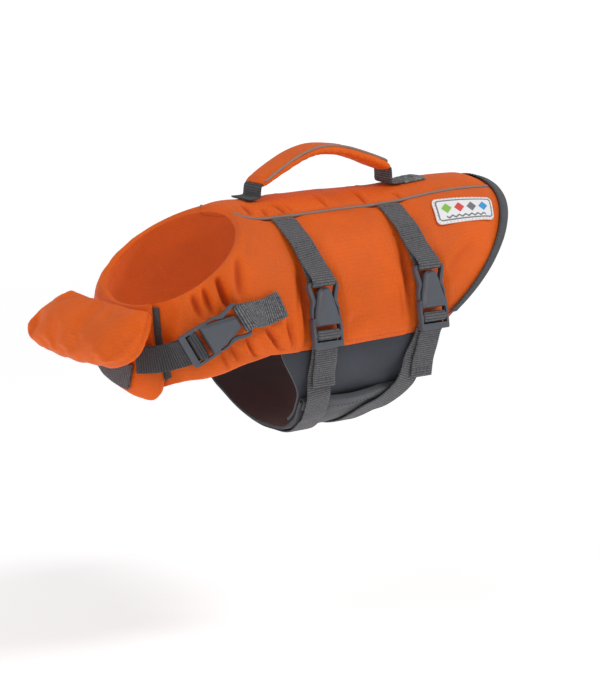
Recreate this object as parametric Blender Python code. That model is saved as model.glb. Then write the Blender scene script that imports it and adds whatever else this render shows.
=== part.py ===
"""Life jacket for a toy dog, extra small, worn and fastened.

Metres, +Z up, +Y towards the tail and +X to the dog's left. The origin is on the inner face of the
spine panel, midway between the two girth straps.
"""
import math
from collections import namedtuple

import bmesh
import bpy
from mathutils import Vector

# Cloth and foam
GAP = 0.0003
FOAM = 0.0065
TURNED_EDGE = 0.0030
BOUND_EDGE = 0.0024
TURNED_REACH = 0.009
SPINE_REACH = 0.016
BOUND_REACH = 0.018
BINDING_LEG = 0.0065
BINDING_TAPE = 0.0008
SKIRT = 0.0018
BELLY = 0.0022
BELLY_SAG = 0.0022
LAP = 0.0026
TONGUE = 0.0044
TAPE = 0.0010
PIPING_RADIUS = 0.0011

# Webbing and buckles
WEB_WIDTH = 0.0165
WEB = 0.0014
STRAP_PRESS = 0.0012
BUCKLE_PRESS = 0.0016
BUCKLE_SEAT = 0.0010
PRESS_HALF_WIDTH = 0.0100
PRESS_FADE = 0.0090

# Places round the girth, in degrees from the top centre, positive to the left
SEAM = 21.0
FLANK_LOW = 98.0
SEAM_GAP = 0.14
BELLY_TOP = 128.0
SKIRT_LOW = 152.0
LEFT_END = 165.0
BUCKLE_AT = 80.0

# The inner form's sections, each in a plane from its top point to its bottom point. upper and lower
# are the powers of the superellipse above and below the middle.
Ring = namedtuple("Ring", "name top_y top_z bottom_y bottom_z half_width upper lower")
RINGS = (
    Ring("neck", -0.073, 0.0020, -0.1400, -0.0460, 0.0480, 1.9, 2.3),
    Ring("chest", -0.066, 0.0010, -0.1430, -0.0980, 0.0560, 1.9, 2.3),
    Ring("shoulder", -0.055, 0.0000, -0.1180, -0.1260, 0.0600, 1.9, 2.2),
    Ring("front girth", -0.040, 0.0000, -0.0400, -0.1340, 0.0605, 1.9, 2.0),
    Ring("middle", 0.000, 0.0005, 0.0000, -0.1325, 0.0615, 1.9, 2.0),
    Ring("rear girth", 0.040, 0.0010, 0.0400, -0.1300, 0.0625, 1.9, 2.0),
    Ring("waist", 0.090, 0.0045, 0.0900, -0.1255, 0.0610, 1.9, 2.0),
    Ring("rear", 0.136, 0.0030, 0.1360, -0.1210, 0.0560, 1.9, 2.0),
)

Row = namedtuple("Row", "at value")
# Full thickness of the spine panel's foam along the back
SPINE_FOAM = (Row(-0.070, 0.0085), Row(-0.020, 0.0090), Row(0.020, 0.0082), Row(0.060, 0.0062),
              Row(0.110, 0.0062))
# How far back, in rings, the rear edge lies at each angle
REAR_EDGE = (Row(0, 6.92), Row(21, 6.91), Row(37, 6.80), Row(53, 6.54), Row(68, 6.18), Row(81, 5.80),
             Row(96, 5.30))
# How far back, in rings, the flanks' hems lie at each angle, from the side to the breast
LEFT_HEM = (Row(98, 2.30), Row(103, 1.97), Row(109, 1.74), Row(118, 1.45), Row(128, 1.20), Row(141, 1.07),
            Row(165, 1.00))
RIGHT_HEM = (Row(98, 2.30), Row(109, 1.74), Row(118, 1.45), Row(128, 1.18), Row(141, 1.00), Row(168, 0.86),
             Row(186, 0.92), Row(200, 1.06), Row(209, 1.15), Row(215, 1.10), Row(219, 0.96))
# The angle that the right flank's lapped end reaches at each ring
TONGUE_END = (Row(0.0, 210), Row(0.4, 214), Row(0.8, 219), Row(1.2, 219))
# How far back the middle of each girth strap lies at each angle
FRONT_STRAP = (Row(20, -0.0425), Row(42, -0.0430), Row(62, -0.0405), Row(117, -0.0395), Row(134, -0.0355),
               Row(144, -0.0320), Row(165, -0.0285), Row(180, -0.0280))
REAR_STRAP = (Row(20, 0.0390), Row(42, 0.0378), Row(62, 0.0392), Row(91, 0.0400), Row(100, 0.0370),
              Row(110, 0.0330), Row(120, 0.0290), Row(130, 0.0235), Row(144, 0.0110), Row(160, 0.0040),
              Row(180, 0.0010))

# Flank columns, in rings: up to the hem's corner, then up to where the rear edge starts to slope,
# then in shares of what is left
FRONT_COLUMNS = (0.0, 0.06, 0.20, 0.45, 0.75, 1.05, 1.35, 1.65, 1.95, 2.30)
SIDE_COLUMNS = (2.58, 2.80, 3.00, 3.21, 3.46, 3.75, 4.05, 4.32, 4.56, 4.79, 5.00, 5.20)
REAR_STEPS = (0.22, 0.44, 0.66, 0.84, 1.0)
SIDE_ROWS = 9
FRONT_ROWS = 8
TONGUE_ROWS = 12

Finish = namedtuple("Finish", "colour roughness metallic")
FINISHES = {
    "orange_cloth": Finish((0.80, 0.13, 0.022), 0.62, 0.0),
    "slate_cloth": Finish((0.060, 0.066, 0.085), 0.70, 0.0),
    "grey_webbing": Finish((0.105, 0.108, 0.120), 0.80, 0.0),
    "grey_binding": Finish((0.090, 0.095, 0.105), 0.75, 0.0),
    "reflective_piping": Finish((0.32, 0.26, 0.25), 0.40, 0.2),
    "rough_tape": Finish((0.130, 0.130, 0.140), 0.95, 0.0),
    "grey_plastic": Finish((0.085, 0.092, 0.108), 0.38, 0.0),
    "white_patch": Finish((0.85, 0.85, 0.86), 0.45, 0.0),
}


def curve(rows, at):
    """Smooth value through a table's rows, held level past its ends."""
    if at <= rows[0].at:
        return rows[0].value
    if at >= rows[-1].at:
        return rows[-1].value
    i = max(k for k in range(len(rows) - 1) if rows[k].at <= at)

    def slope(k):
        low, high = rows[max(k - 1, 0)], rows[min(k + 1, len(rows) - 1)]
        return (high.value - low.value) / (high.at - low.at)

    span = rows[i + 1].at - rows[i].at
    f = (at - rows[i].at) / span
    start, end = rows[i].value, rows[i + 1].value
    return (start * (1 + 2 * f) * (1 - f) ** 2 + end * f * f * (3 - 2 * f)
            + span * (slope(i) * f * (1 - f) ** 2 - slope(i + 1) * f * f * (1 - f)))


def ring_value(field, s):
    """A ring's measure at the place s, counted in rings; it runs on past the last one."""
    last = len(RINGS) - 1
    i = min(max(int(math.floor(s)), 0), last - 1)
    f = s - i
    p1, p2 = getattr(RINGS[i], field), getattr(RINGS[i + 1], field)
    p0 = getattr(RINGS[i - 1], field) if i > 0 else 2 * p1 - p2
    p3 = getattr(RINGS[i + 2], field) if i + 2 <= last else 2 * p2 - p1
    return p1 + 0.5 * f * (p2 - p0 + f * (2 * p0 - 5 * p1 + 4 * p2 - p3 + f * (3 * (p1 - p2) + p3 - p0)))


def form_point(s, t):
    """Point of the inner form at ring place s and angle t."""
    angle = math.radians(t)
    power = 2 / ring_value("upper" if math.cos(angle) > 0 else "lower", s)
    side = math.copysign(abs(math.sin(angle)) ** power, math.sin(angle))
    rise = math.copysign(abs(math.cos(angle)) ** power, math.cos(angle))
    top_y, bottom_y = ring_value("top_y", s), ring_value("bottom_y", s)
    top_z, bottom_z = ring_value("top_z", s), ring_value("bottom_z", s)
    return Vector((ring_value("half_width", s) * side,
                   (top_y + bottom_y) / 2 + (top_y - bottom_y) / 2 * rise,
                   (top_z + bottom_z) / 2 + (top_z - bottom_z) / 2 * rise))


def outward(s, t):
    across = form_point(s + 0.02, t) - form_point(s - 0.02, t)
    round_girth = form_point(s, t + 1.5) - form_point(s, t - 1.5)
    return round_girth.cross(across).normalized()


def lifted(s, t, lift):
    return form_point(s, t) + outward(s, t) * lift


def ring_where(reaches, y, low, high=7.2):
    """The ring place between low and high where a length that grows with it comes to y."""
    for _ in range(30):
        middle = (low + high) / 2
        if reaches(middle) < y:
            low = middle
        else:
            high = middle
    return low


def ring_at(y, t):
    """The ring place that lies at y on the line of angle t."""
    return ring_where(lambda s: form_point(s, t).y, y, 1.2)


def seam_ring(y):
    return ring_where(lambda s: form_point(s, SEAM).y, y, 0.0)


def spine_ring(y):
    return ring_where(lambda s: ring_value("top_y", s), y, 0.0)


def mix(a, b, f):
    return a + (b - a) * f


def smooth(f):
    f = min(max(f, 0.0), 1.0)
    return f * f * (3 - 2 * f)


def dome(f):
    f = min(max(f, 0.0), 1.0)
    return math.sqrt(1 - (1 - f) ** 2)


def finish(name):
    found = bpy.data.materials.get(name)
    if found:
        return found
    material = bpy.data.materials.new(name)
    material.use_nodes = True
    shader = material.node_tree.nodes["Principled BSDF"]
    look = FINISHES[name]
    shader.inputs["Base Color"].default_value = (*look.colour, 1.0)
    shader.inputs["Roughness"].default_value = look.roughness
    shader.inputs["Metallic"].default_value = look.metallic
    return material


def solid(name, material, points, faces):
    """One named closed object from points and faces, turned to face out."""
    work = bmesh.new()
    corners = [work.verts.new(point) for point in points]
    for face in faces:
        work.faces.new([corners[i] for i in face])
    bmesh.ops.recalc_face_normals(work, faces=work.faces)
    mesh = bpy.data.meshes.new(name)
    work.to_mesh(mesh)
    work.free()
    mesh.shade_smooth()
    mesh.set_sharp_from_angle(angle=math.radians(50))
    made = bpy.data.objects.new(name, mesh)
    made.data.materials.append(finish(material))
    bpy.context.scene.collection.objects.link(made)
    return made


def rim_of(cells):
    """The edges that only one cell has, in the order of that cell."""
    edges = [(cell[k], cell[(k + 1) % 4]) for cell in cells for k in range(4)]
    known = set(edges)
    return [(a, b) for a, b in edges if (b, a) not in known]


def shell(name, material, outer, inner, cells):
    """Closed wall between two grids of points that share their keys."""
    keys = sorted({key for cell in cells for key in cell})
    index = {key: i for i, key in enumerate(keys)}
    count = len(keys)
    faces = []
    for cell in cells:
        face = [index[key] for key in cell]
        faces.append(face)
        faces.append([i + count for i in reversed(face)])
    for a, b in rim_of(cells):
        faces.append([index[b], index[a], index[a] + count, index[b] + count])
    return solid(name, material, [outer[k] for k in keys] + [inner[k] for k in keys], faces)


def grid_cells(columns, rows):
    return [((i, j), (i + 1, j), (i + 1, j + 1), (i, j + 1)) for i in range(columns) for j in range(rows)]


def distance_to(point, edges):
    """Shortest way from a point to a set of straight edges."""
    nearest = 1.0
    for start, end in edges:
        line = end - start
        f = min(max((point - start).dot(line) / max(line.length_squared, 1e-12), 0.0), 1.0)
        nearest = min(nearest, (point - start - line * f).length)
    return nearest


# ---- panels ----------------------------------------------------------------------------------

def flank_places(hem, end, front_rows):
    """Each key's ring place and angle on a flank, and its cells. Angles run down from the seam."""
    places = {}
    columns = len(FRONT_COLUMNS) + len(SIDE_COLUMNS) + len(REAR_STEPS) - 1
    for j in range(SIDE_ROWS + 1):
        v = (1 - math.cos(math.pi * j / SIDE_ROWS)) / 2
        t = mix(SEAM + SEAM_GAP, FLANK_LOW - SEAM_GAP, v)
        for i, s in enumerate(FRONT_COLUMNS + SIDE_COLUMNS):
            places[i, j] = (s, t)
        start, stop = SIDE_COLUMNS[-1], curve(REAR_EDGE, t)
        for k, f in enumerate(REAR_STEPS):
            places[len(FRONT_COLUMNS) + len(SIDE_COLUMNS) + k, j] = (mix(start, stop, f), t)
    for k in range(1, front_rows + 1):
        v = math.sin(math.pi / 2 * k / front_rows) if front_rows < 10 else k / front_rows
        for i, s in enumerate(FRONT_COLUMNS):
            share = s / FRONT_COLUMNS[-1]
            reach = curve(end, share * 1.05)
            t = mix(FLANK_LOW - SEAM_GAP, reach, v)
            places[i, SIDE_ROWS + k] = (share * curve(hem, t), t)
    cells = grid_cells(columns, SIDE_ROWS)
    cells += [((i, j), (i + 1, j), (i + 1, j + 1), (i, j + 1))
              for i in range(len(FRONT_COLUMNS) - 1) for j in range(SIDE_ROWS, SIDE_ROWS + front_rows)]
    return places, cells


def strap_press(place):
    """How much the straps and buckles press the foam down at a point of the form."""
    angle = math.degrees(math.atan2(abs(place.x) / 0.061, (place.z + 0.070) / 0.070))
    press = 0.0
    for path in (FRONT_STRAP, REAR_STRAP):
        off = abs(place.y - curve(path, angle))
        buckle = smooth((angle - 52) / 10) * (place.x > 0)
        under = 1 - smooth((off - PRESS_HALF_WIDTH) / PRESS_FADE)
        press = max(press, (STRAP_PRESS + BUCKLE_PRESS * buckle) * under)
    return press if abs(place.x) > 0.02 and place.z > -0.09 else 0.0


class Foam:
    """Thickness of a foam panel from how far a place is from its turned and its bound edges."""

    def __init__(self, places, cells, bound_column, sign):
        edge = [(a, b) for a, b in rim_of(cells)]
        point = {key: self.mirrored(form_point(*place), sign) for key, place in places.items()}
        self.bound = [(point[a], point[b]) for a, b in edge if a[0] == b[0] == bound_column]
        self.turned = [(point[a], point[b]) for a, b in edge if not a[0] == b[0] == bound_column]

    @staticmethod
    def mirrored(point, sign):
        return Vector((point.x * sign, point.y, point.z))

    def at(self, place, full=FOAM):
        turned = TURNED_EDGE + (full - TURNED_EDGE) * dome(distance_to(place, self.turned) / TURNED_REACH)
        bound = BOUND_EDGE + (full - BOUND_EDGE) * smooth(distance_to(place, self.bound) / BOUND_REACH)
        return max(min(turned, bound) - strap_press(place), BOUND_EDGE)


def left_full(t):
    """Full thickness of the left flank: its front end is flat cloth under the right one's lap."""
    return mix(FOAM, LAP, smooth((t - 122) / 15))


def left_cover(s, t):
    """Height of the left flank's outer face over the form."""
    place = form_point(s, t)
    full = left_full(t)
    if full < TURNED_EDGE + 0.0005:
        return full
    return LEFT_FOAM.at(place, full)


def lap_lift(t):
    """How far the right flank's inner face stands off the form; t runs from the right over the breast."""
    return (LAP + TAPE + 4 * GAP) * smooth((t - 152) / 36)


LEFT_PLACES, LEFT_CELLS = flank_places(LEFT_HEM, (Row(0, LEFT_END), Row(2, LEFT_END)), FRONT_ROWS)
RIGHT_PLACES, RIGHT_CELLS = flank_places(RIGHT_HEM, TONGUE_END, TONGUE_ROWS)
REAR_COLUMN = len(FRONT_COLUMNS) + len(SIDE_COLUMNS) + len(REAR_STEPS) - 1
LEFT_FOAM = Foam(LEFT_PLACES, LEFT_CELLS, REAR_COLUMN, 1)
RIGHT_FOAM = Foam(RIGHT_PLACES, RIGHT_CELLS, REAR_COLUMN, -1)


def make_flanks():
    outer = {key: lifted(*place, left_cover(*place)) for key, place in LEFT_PLACES.items()}
    inner = {key: form_point(*place) for key, place in LEFT_PLACES.items()}
    shell("left_flank", "orange_cloth", outer, inner, LEFT_CELLS)
    outer = {}
    inner = {}
    for key, (s, t) in RIGHT_PLACES.items():
        place = form_point(s, -t)
        lift = lap_lift(t)
        full = mix(FOAM, TONGUE, smooth((t - 130) / 40))
        inner[key] = lifted(s, -t, lift)
        outer[key] = lifted(s, -t, lift + RIGHT_FOAM.at(place, full))
    shell("right_flank", "orange_cloth", outer, inner, RIGHT_CELLS)


SPINE_COLUMNS = 22
SPINE_ROWS = 6
SPINE_CROWDING = 0.035  # how far the columns draw together at the two ends
SPINE_FRONT_SHARE = 0.12  # the length over which the panel is laid out by the crest line


def spine_place(i, j):
    t = mix(-SEAM + SEAM_GAP, SEAM - SEAM_GAP, (1 - math.cos(math.pi * j / SPINE_ROWS)) / 2)
    u = i / SPINE_COLUMNS - SPINE_CROWDING * math.sin(2 * math.pi * i / SPINE_COLUMNS)
    y = mix(form_point(0, t).y, form_point(curve(REAR_EDGE, abs(t)), t).y, u)
    return (ring_at(y, t) if u > SPINE_FRONT_SHARE else spine_ring(y)), t


def spine_cover(s, t):
    """Height of the spine panel's outer face over the form."""
    place = form_point(s, t)
    full = curve(SPINE_FOAM, place.y)
    side = min(distance_to(place, SPINE_SIDES), distance_to(place, SPINE_FRONT))
    turned = TURNED_EDGE + (full - TURNED_EDGE) * dome(side / SPINE_REACH)
    bound = BOUND_EDGE + (full - BOUND_EDGE) * smooth(distance_to(place, SPINE_REAR) / BOUND_REACH)
    return min(turned, bound)


SPINE_PLACES = {(i, j): spine_place(i, j) for i in range(SPINE_COLUMNS + 1) for j in range(SPINE_ROWS + 1)}
SPINE_CELLS = grid_cells(SPINE_COLUMNS, SPINE_ROWS)


def spine_edges(test):
    return [(form_point(*SPINE_PLACES[a]), form_point(*SPINE_PLACES[b]))
            for a, b in rim_of(SPINE_CELLS) if test(a, b)]


SPINE_SIDES = spine_edges(lambda a, b: a[1] == b[1] and a[1] in (0, SPINE_ROWS))
SPINE_FRONT = spine_edges(lambda a, b: a[0] == b[0] == 0)
SPINE_REAR = spine_edges(lambda a, b: a[0] == b[0] == SPINE_COLUMNS)


def make_spine():
    outer = {key: lifted(*place, spine_cover(*place)) for key, place in SPINE_PLACES.items()}
    inner = {key: form_point(*place) for key, place in SPINE_PLACES.items()}
    shell("spine_panel", "orange_cloth", outer, inner, SPINE_CELLS)


def belly_front(t):
    """How far back the slate pieces' front edge lies at angle t on either side."""
    return curve(FRONT_STRAP, t) - mix(0.030, 0.0110, smooth((t - 93) / 35))


def belly_rear(t):
    return curve(REAR_STRAP, t) + 0.0105


def skirt_place(u, t):
    return ring_at(mix(belly_front(t), belly_rear(t), u), t), t


def belly_lift(t):
    """How far the belly panel stands off the form: over the skirt it lies outside."""
    return (SKIRT + BINDING_TAPE + 3 * GAP) * (1 - smooth((t - 154) / 24))


def belly_sag(u, t):
    """How far the bound edge stands off between the straps."""
    between = min(max((u - 0.22) / 0.5, 0), 1)
    return BELLY_SAG * math.sin(math.pi * between) * (1 - smooth((t - BELLY_TOP) / 14))


SKIRT_COLUMNS = 12
SKIRT_ROWS = 5


def make_skirt():
    outer = {}
    inner = {}
    for i in range(SKIRT_COLUMNS + 1):
        for j in range(SKIRT_ROWS + 1):
            s, t = skirt_place(i / SKIRT_COLUMNS, mix(FLANK_LOW + SEAM_GAP, SKIRT_LOW, j / SKIRT_ROWS))
            outer[i, j] = lifted(s, t, SKIRT)
            inner[i, j] = form_point(s, t)
    shell("left_skirt", "slate_cloth", outer, inner, grid_cells(SKIRT_COLUMNS, SKIRT_ROWS))


BELLY_COLUMNS = 12
BELLY_ROWS = 16
BELLY_BOUND = 5.2
BELLY_ANGLES = [BELLY_TOP] + [mix(BELLY_TOP + BELLY_BOUND, 360 - FLANK_LOW - SEAM_GAP, k / BELLY_ROWS)
                              for k in range(BELLY_ROWS + 1)]


def belly_point(u, t, lift):
    """Point of the belly panel; t runs from the left, under the belly and up the right."""
    if t <= 180:
        return lifted(*skirt_place(u, t), belly_lift(t) + belly_sag(u, t) + lift)
    s, angle = skirt_place(u, 360 - t)
    return lifted(s, -angle, lift)


def make_belly():
    outer = {}
    inner = {}
    for i in range(BELLY_COLUMNS + 1):
        for j, t in enumerate(BELLY_ANGLES):
            u = i / BELLY_COLUMNS
            outer[i, j] = belly_point(u, t, BELLY)
            inner[i, j] = belly_point(u, t, 0.0)
    shell("belly_panel", "slate_cloth", outer, inner, grid_cells(BELLY_COLUMNS, len(BELLY_ANGLES) - 1))


# ---- bindings and piping ---------------------------------------------------------------------

def binding(name, edge, slack):
    """Folded tape round an edge. A row of edge holds the panel's outer and inner points at the edge
    and one tape leg back from it; slack is the room in the fold."""
    rings = []
    for out_edge, in_edge, out_back, in_back in edge:
        thick = (out_edge - in_edge).normalized()
        away = ((out_edge - out_back) + (in_edge - in_back)).normalized()
        gap = GAP * 1.2
        tape = gap + BINDING_TAPE
        fold = away * slack
        rings.append([
            out_back + thick * gap,
            out_back + thick * tape,
            out_edge + thick * tape + fold,
            (out_edge + in_edge) / 2 + fold + away * BINDING_TAPE * 1.6,
            in_edge - thick * tape + fold,
            in_back - thick * tape,
            in_back - thick * gap,
            in_edge - thick * gap + fold,
            out_edge + thick * gap + fold,
        ])
    return loft(name, "grey_binding", rings)


def loft(name, material, rings):
    """Closed body through rings of points, with a flat cap at each end."""
    count = len(rings[0])
    points = [point for ring in rings for point in ring]
    faces = [list(range(count)), list(range(len(points) - count, len(points)))]
    for k in range(len(rings) - 1):
        for i in range(count):
            a, b = k * count + i, k * count + (i + 1) % count
            faces.append([a, b, b + count, a + count])
    return solid(name, material, points, faces)


REAR_BINDING_SHORT = 6.5  # degrees that the tape stops above the hem


def rear_edge_row(t):
    """The panel's points at the rear edge at angle t, negative on the right, and one leg in front."""
    end = curve(REAR_EDGE, abs(t))
    edge = form_point(end, t)
    back = end
    while (form_point(back, t) - edge).length < BINDING_LEG:
        back -= 0.005
    thick = 0.0
    for share in (0.3, 0.5, 0.7, 1.0):
        s = mix(end, back, share)
        if abs(t) < SEAM:
            cover = spine_cover(s, t)
        elif t > 0:
            cover = left_cover(s, t)
        else:
            cover = RIGHT_FOAM.at(form_point(s, t))
        thick = max(thick, BOUND_EDGE + (cover - BOUND_EDGE) / share)
    return (lifted(end, t, BOUND_EDGE + GAP), lifted(end, t, -GAP / 2), lifted(back, t, thick + 2 * GAP),
            lifted(back, t, -GAP / 2))


def make_bindings():
    low = FLANK_LOW - REAR_BINDING_SHORT
    angles = [mix(-low, low, k / 48) for k in range(49)]
    binding("rear_binding", [rear_edge_row(t) for t in angles], GAP * 2)
    back = BELLY_TOP + BELLY_BOUND
    rows = []
    for k in range(17):
        u = mix(0.02, 0.98, k / 16)
        rows.append((belly_point(u, BELLY_TOP, BELLY), belly_point(u, BELLY_TOP, 0.0),
                     belly_point(u, back, BELLY), belly_point(u, back, 0.0)))
    binding("belly_binding", rows, GAP * 1.2)


def tube(name, material, centres, radius, sides=6):
    rings = []
    for k, centre in enumerate(centres):
        ahead = (centres[min(k + 1, len(centres) - 1)] - centres[max(k - 1, 0)]).normalized()
        side = ahead.cross(Vector((0, 0, 1))).normalized()
        up = side.cross(ahead)
        rings.append([centre + (side * math.cos(a) + up * math.sin(a)) * radius
                      for a in (2 * math.pi * n / sides for n in range(sides))])
    return loft(name, material, rings)


def make_piping():
    height = TURNED_EDGE + GAP + PIPING_RADIUS + 0.0001
    for name, side in (("piping_left", 1), ("piping_right", -1)):
        centres = []
        for k in range(35):
            y = mix(form_point(0.02, SEAM).y, form_point(6.72, SEAM).y, k / 34)
            centres.append(lifted(seam_ring(y), side * SEAM, height))
        tube(name, "reflective_piping", centres, PIPING_RADIUS)


# ---- webbing ---------------------------------------------------------------------------------

def ribbon(name, material, path, width=WEB_WIDTH, thickness=WEB):
    """Flat webbing along a path of (centre, across) pairs."""
    outer = {}
    inner = {}
    for k, (centre, across) in enumerate(path):
        ahead = path[min(k + 1, len(path) - 1)][0] - path[max(k - 1, 0)][0]
        across = across.normalized()
        face = across.cross(ahead).normalized()
        for j, side in enumerate((-0.5, 0.5)):
            outer[k, j] = centre + across * side * width + face * thickness / 2
            inner[k, j] = centre + across * side * width - face * thickness / 2
    return shell(name, material, outer, inner, grid_cells(len(path) - 1, 1))


def bridge(start, stop, steps):
    """The places between two (centre, across) pairs, which share out the twist."""
    return [(start[0].lerp(stop[0], k / steps), start[1].normalized().lerp(stop[1].normalized(), k / steps))
            for k in range(1, steps)]


def rounded(corners, setback, steps=3):
    """A path of (centre, across) pairs with each inner corner cut to a small curve."""
    path = [corners[0]]
    for (before, _), (corner, across), (after, _) in zip(corners, corners[1:], corners[2:]):
        entry, leave = (corner + way.normalized() * min(setback, way.length * 0.45)
                        for way in (before - corner, after - corner))
        for n in range(steps + 1):
            f = n / steps
            path.append((entry * (1 - f) ** 2 + corner * 2 * f * (1 - f) + leave * f * f, across))
    return path + [corners[-1]]


class Seat:
    """A buckle's own frame: across the strap, along it towards the ladder, and out."""

    def __init__(self, s, t, along, lift):
        self.out = outward(s, t)
        self.along = (along - self.out * along.dot(self.out)).normalized()
        self.across = self.along.cross(self.out)
        self.origin = lifted(s, t, lift)

    def at(self, along, out, across=0.0):
        return self.origin + self.across * across + self.along * along + self.out * out


# A buckle's body from the tongue to the frame: place along, half width, half width of the raised
# middle, height of the front face at the middle and at the side, and height of the back
FemaleRow = namedtuple("FemaleRow", "along half inner crown side back")
FEMALE = (
    FemaleRow(-0.0165, 0.0030, 0.0018, 0.0048, 0.0042, 0.0012),
    FemaleRow(-0.0152, 0.0046, 0.0028, 0.0056, 0.0046, 0.0008),
    FemaleRow(-0.0115, 0.0056, 0.0034, 0.0066, 0.0050, 0.0006),
    FemaleRow(-0.0078, 0.0062, 0.0038, 0.0074, 0.0054, 0.0005),
    FemaleRow(-0.0058, 0.0078, 0.0046, 0.0076, 0.0054, 0.0005),
    FemaleRow(-0.0040, 0.0099, 0.0056, 0.0077, 0.0052, 0.0005),
    FemaleRow(0.0010, 0.0104, 0.0060, 0.0074, 0.0048, 0.0005),
    FemaleRow(0.0048, 0.0104, 0.0070, 0.0058, 0.0044, 0.0006),
    FemaleRow(0.0068, 0.0105, 0.0088, 0.0048, 0.0042, 0.0010),
    FemaleRow(0.0098, 0.0106, 0.0088, 0.0039, 0.0043, 0.0015),
    FemaleRow(0.0124, 0.0106, 0.0088, 0.0039, 0.0043, 0.0015),
    FemaleRow(0.0156, 0.0106, 0.0088, 0.0043, 0.0043, 0.0015),
    FemaleRow(0.0180, 0.0106, 0.0088, 0.0043, 0.0041, 0.0015),
    FemaleRow(0.0188, 0.0100, 0.0084, 0.0036, 0.0036, 0.0019),
)
SLOT_ROWS = (8, 10)
# The notch for a prong: along, out and across
NOTCH = ((-0.0075, 0.0022), (0.0009, 0.0041), (0.0066, 0.0130))


def buckle_female(name, seat):
    """The body: a rounded tongue, shoulders with a notch for each prong, and a two-slot ladder."""
    outer = {}
    inner = {}
    for i, row in enumerate(FEMALE):
        for j, across in enumerate((-row.half, -row.inner, 0.0, row.inner, row.half)):
            front = row.side if j in (0, 4) else row.crown
            outer[i, j] = seat.at(row.along, front, across)
            inner[i, j] = seat.at(row.along, row.back, across)
    cells = [cell for cell in grid_cells(len(FEMALE) - 1, 4)
             if not (cell[0][0] in SLOT_ROWS and cell[0][1] in (1, 2))]
    body = shell(name, "grey_plastic", outer, inner, cells)
    for side in (-1, 1):
        along, out, across = NOTCH
        cutter = box_between(name + "_notch", seat, along, out, [side * edge for edge in across])
        cut = body.modifiers.new("prong notch", "BOOLEAN")
        cut.operation = "DIFFERENCE"
        cut.object = cutter


def box_between(name, seat, along, out, across):
    corners = [seat.at(a, n, c) for a in along for n in out for c in across]
    faces = [(0, 1, 3, 2), (4, 6, 7, 5), (0, 4, 5, 1), (2, 3, 7, 6), (0, 2, 6, 4), (1, 5, 7, 3)]
    box = solid(name, "grey_plastic", corners, faces)
    box.hide_render = True
    box.display_type = "WIRE"
    return box


# Half of the fork's middle line, from a prong's tip to the bar: along, across
PRONG_PATH = (
    (0.0016, 0.0090), (-0.0010, 0.0088), (-0.0050, 0.0082), (-0.0090, 0.0085), (-0.0130, 0.0100),
    (-0.0175, 0.0106), (-0.0199, 0.0098), (-0.0206, 0.0080),
)
PRONG_HEIGHT = 0.0024
PRONG_WIDTH = 0.0022
PRONG_OUT = 0.0025


def buckle_male(name, seat):
    """The fork: a bar for the webbing and two prongs that bend in to the body's notches."""
    half = [Vector((across, along)) for along, across in PRONG_PATH]
    line = half + [Vector((-p.x, p.y)) for p in reversed(half)]
    rings = []
    for k, point in enumerate(line):
        ahead = (line[min(k + 1, len(line) - 1)] - line[max(k - 1, 0)]).normalized()
        side = Vector((ahead.y, -ahead.x)) * PRONG_WIDTH / 2
        rings.append([seat.at(point.y + side.y * q, PRONG_OUT + PRONG_HEIGHT / 2 * r, point.x + side.x * q)
                      for q, r in ((1, 1), (-1, 1), (-1, -1), (1, -1))])
    loft(name, "grey_plastic", rings)


def surface_path(path, start, stop, count, lift):
    """Webbing laid on the form along a girth strap's path, between two angles."""
    stations = []
    for k in range(count + 1):
        t = mix(start, stop, k / count)
        side = 1 if t <= 180 else -1
        angle = t if t <= 180 else 360 - t
        before, after = curve(path, angle - 1), curve(path, angle + 1)
        s = ring_at(curve(path, angle), angle)
        here = lifted(s, side * angle, lift(t))
        ahead = form_point(ring_at(after, angle + 1), side * (angle + 1)) \
            - form_point(ring_at(before, angle - 1), side * (angle - 1))
        ahead *= side
        stations.append((here, ahead.cross(outward(s, side * angle))))
    return stations


# Height of the webbing's middle over what it lies on, in one layer and in two
SINGLE = GAP * 1.3 + WEB / 2
DOUBLE = SINGLE + WEB + GAP * 2
SEAM_CLEAR = 2.6  # degrees between a girth strap's sewn end and the piping


def upper_lift(path, layer):
    def lift(t):
        s = ring_at(curve(path, t), t)
        return left_cover(s, t) + layer
    return lift


def girth_seat(path):
    y = curve(path, BUCKLE_AT)
    below, above = BUCKLE_AT + 4, BUCKLE_AT - 4
    down = form_point(ring_at(y, below), below) - form_point(ring_at(y, above), above)
    return Seat(ring_at(y, BUCKLE_AT), BUCKLE_AT, down, FOAM - STRAP_PRESS - BUCKLE_PRESS + BUCKLE_SEAT)


BEHIND_LADDER = 0.0048
BINDING_HUMP = 0.0015


def load_lift(t):
    """Middle of the long webbing over the form; t runs from the left, under the belly, up the right."""
    if t <= 180:
        over_skirt = SKIRT + SINGLE + 0.0010
        over_belly = belly_lift(t) + BELLY + SINGLE + 0.0003
        down = mix(BEHIND_LADDER, over_skirt, smooth((t - FLANK_LOW) / 12))
        over_binding = BINDING_HUMP * smooth((t - 112) / 12) * (1 - smooth((t - 136) / 8))
        return mix(down, over_belly, smooth((t - 110) / 14)) + over_binding
    angle = 360 - t
    low = BELLY + SINGLE + 0.0003
    return mix(low, FOAM - STRAP_PRESS + SINGLE, smooth((112 - angle) / 18))


def bar_fold(seat):
    """Corners of the webbing that goes over the male bar, round it and back beneath."""
    corners = ((-0.0226, 0.0047), (-0.0182, 0.0053), (-0.0182, -0.0004), (-0.0226, -0.0008))
    return [(seat.at(*corner), seat.across) for corner in corners]


def ladder_turn(seat):
    """Corners of the webbing that comes up the first slot, over the middle bar and down the second."""
    corners = ((0.0100, 0.0002), (0.0083, 0.0006), (0.0083, 0.0051), (0.0140, 0.0051), (0.0140, 0.0008),
               (0.0190, 0.0004))
    return [(seat.at(*corner), seat.across) for corner in corners]


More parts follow.
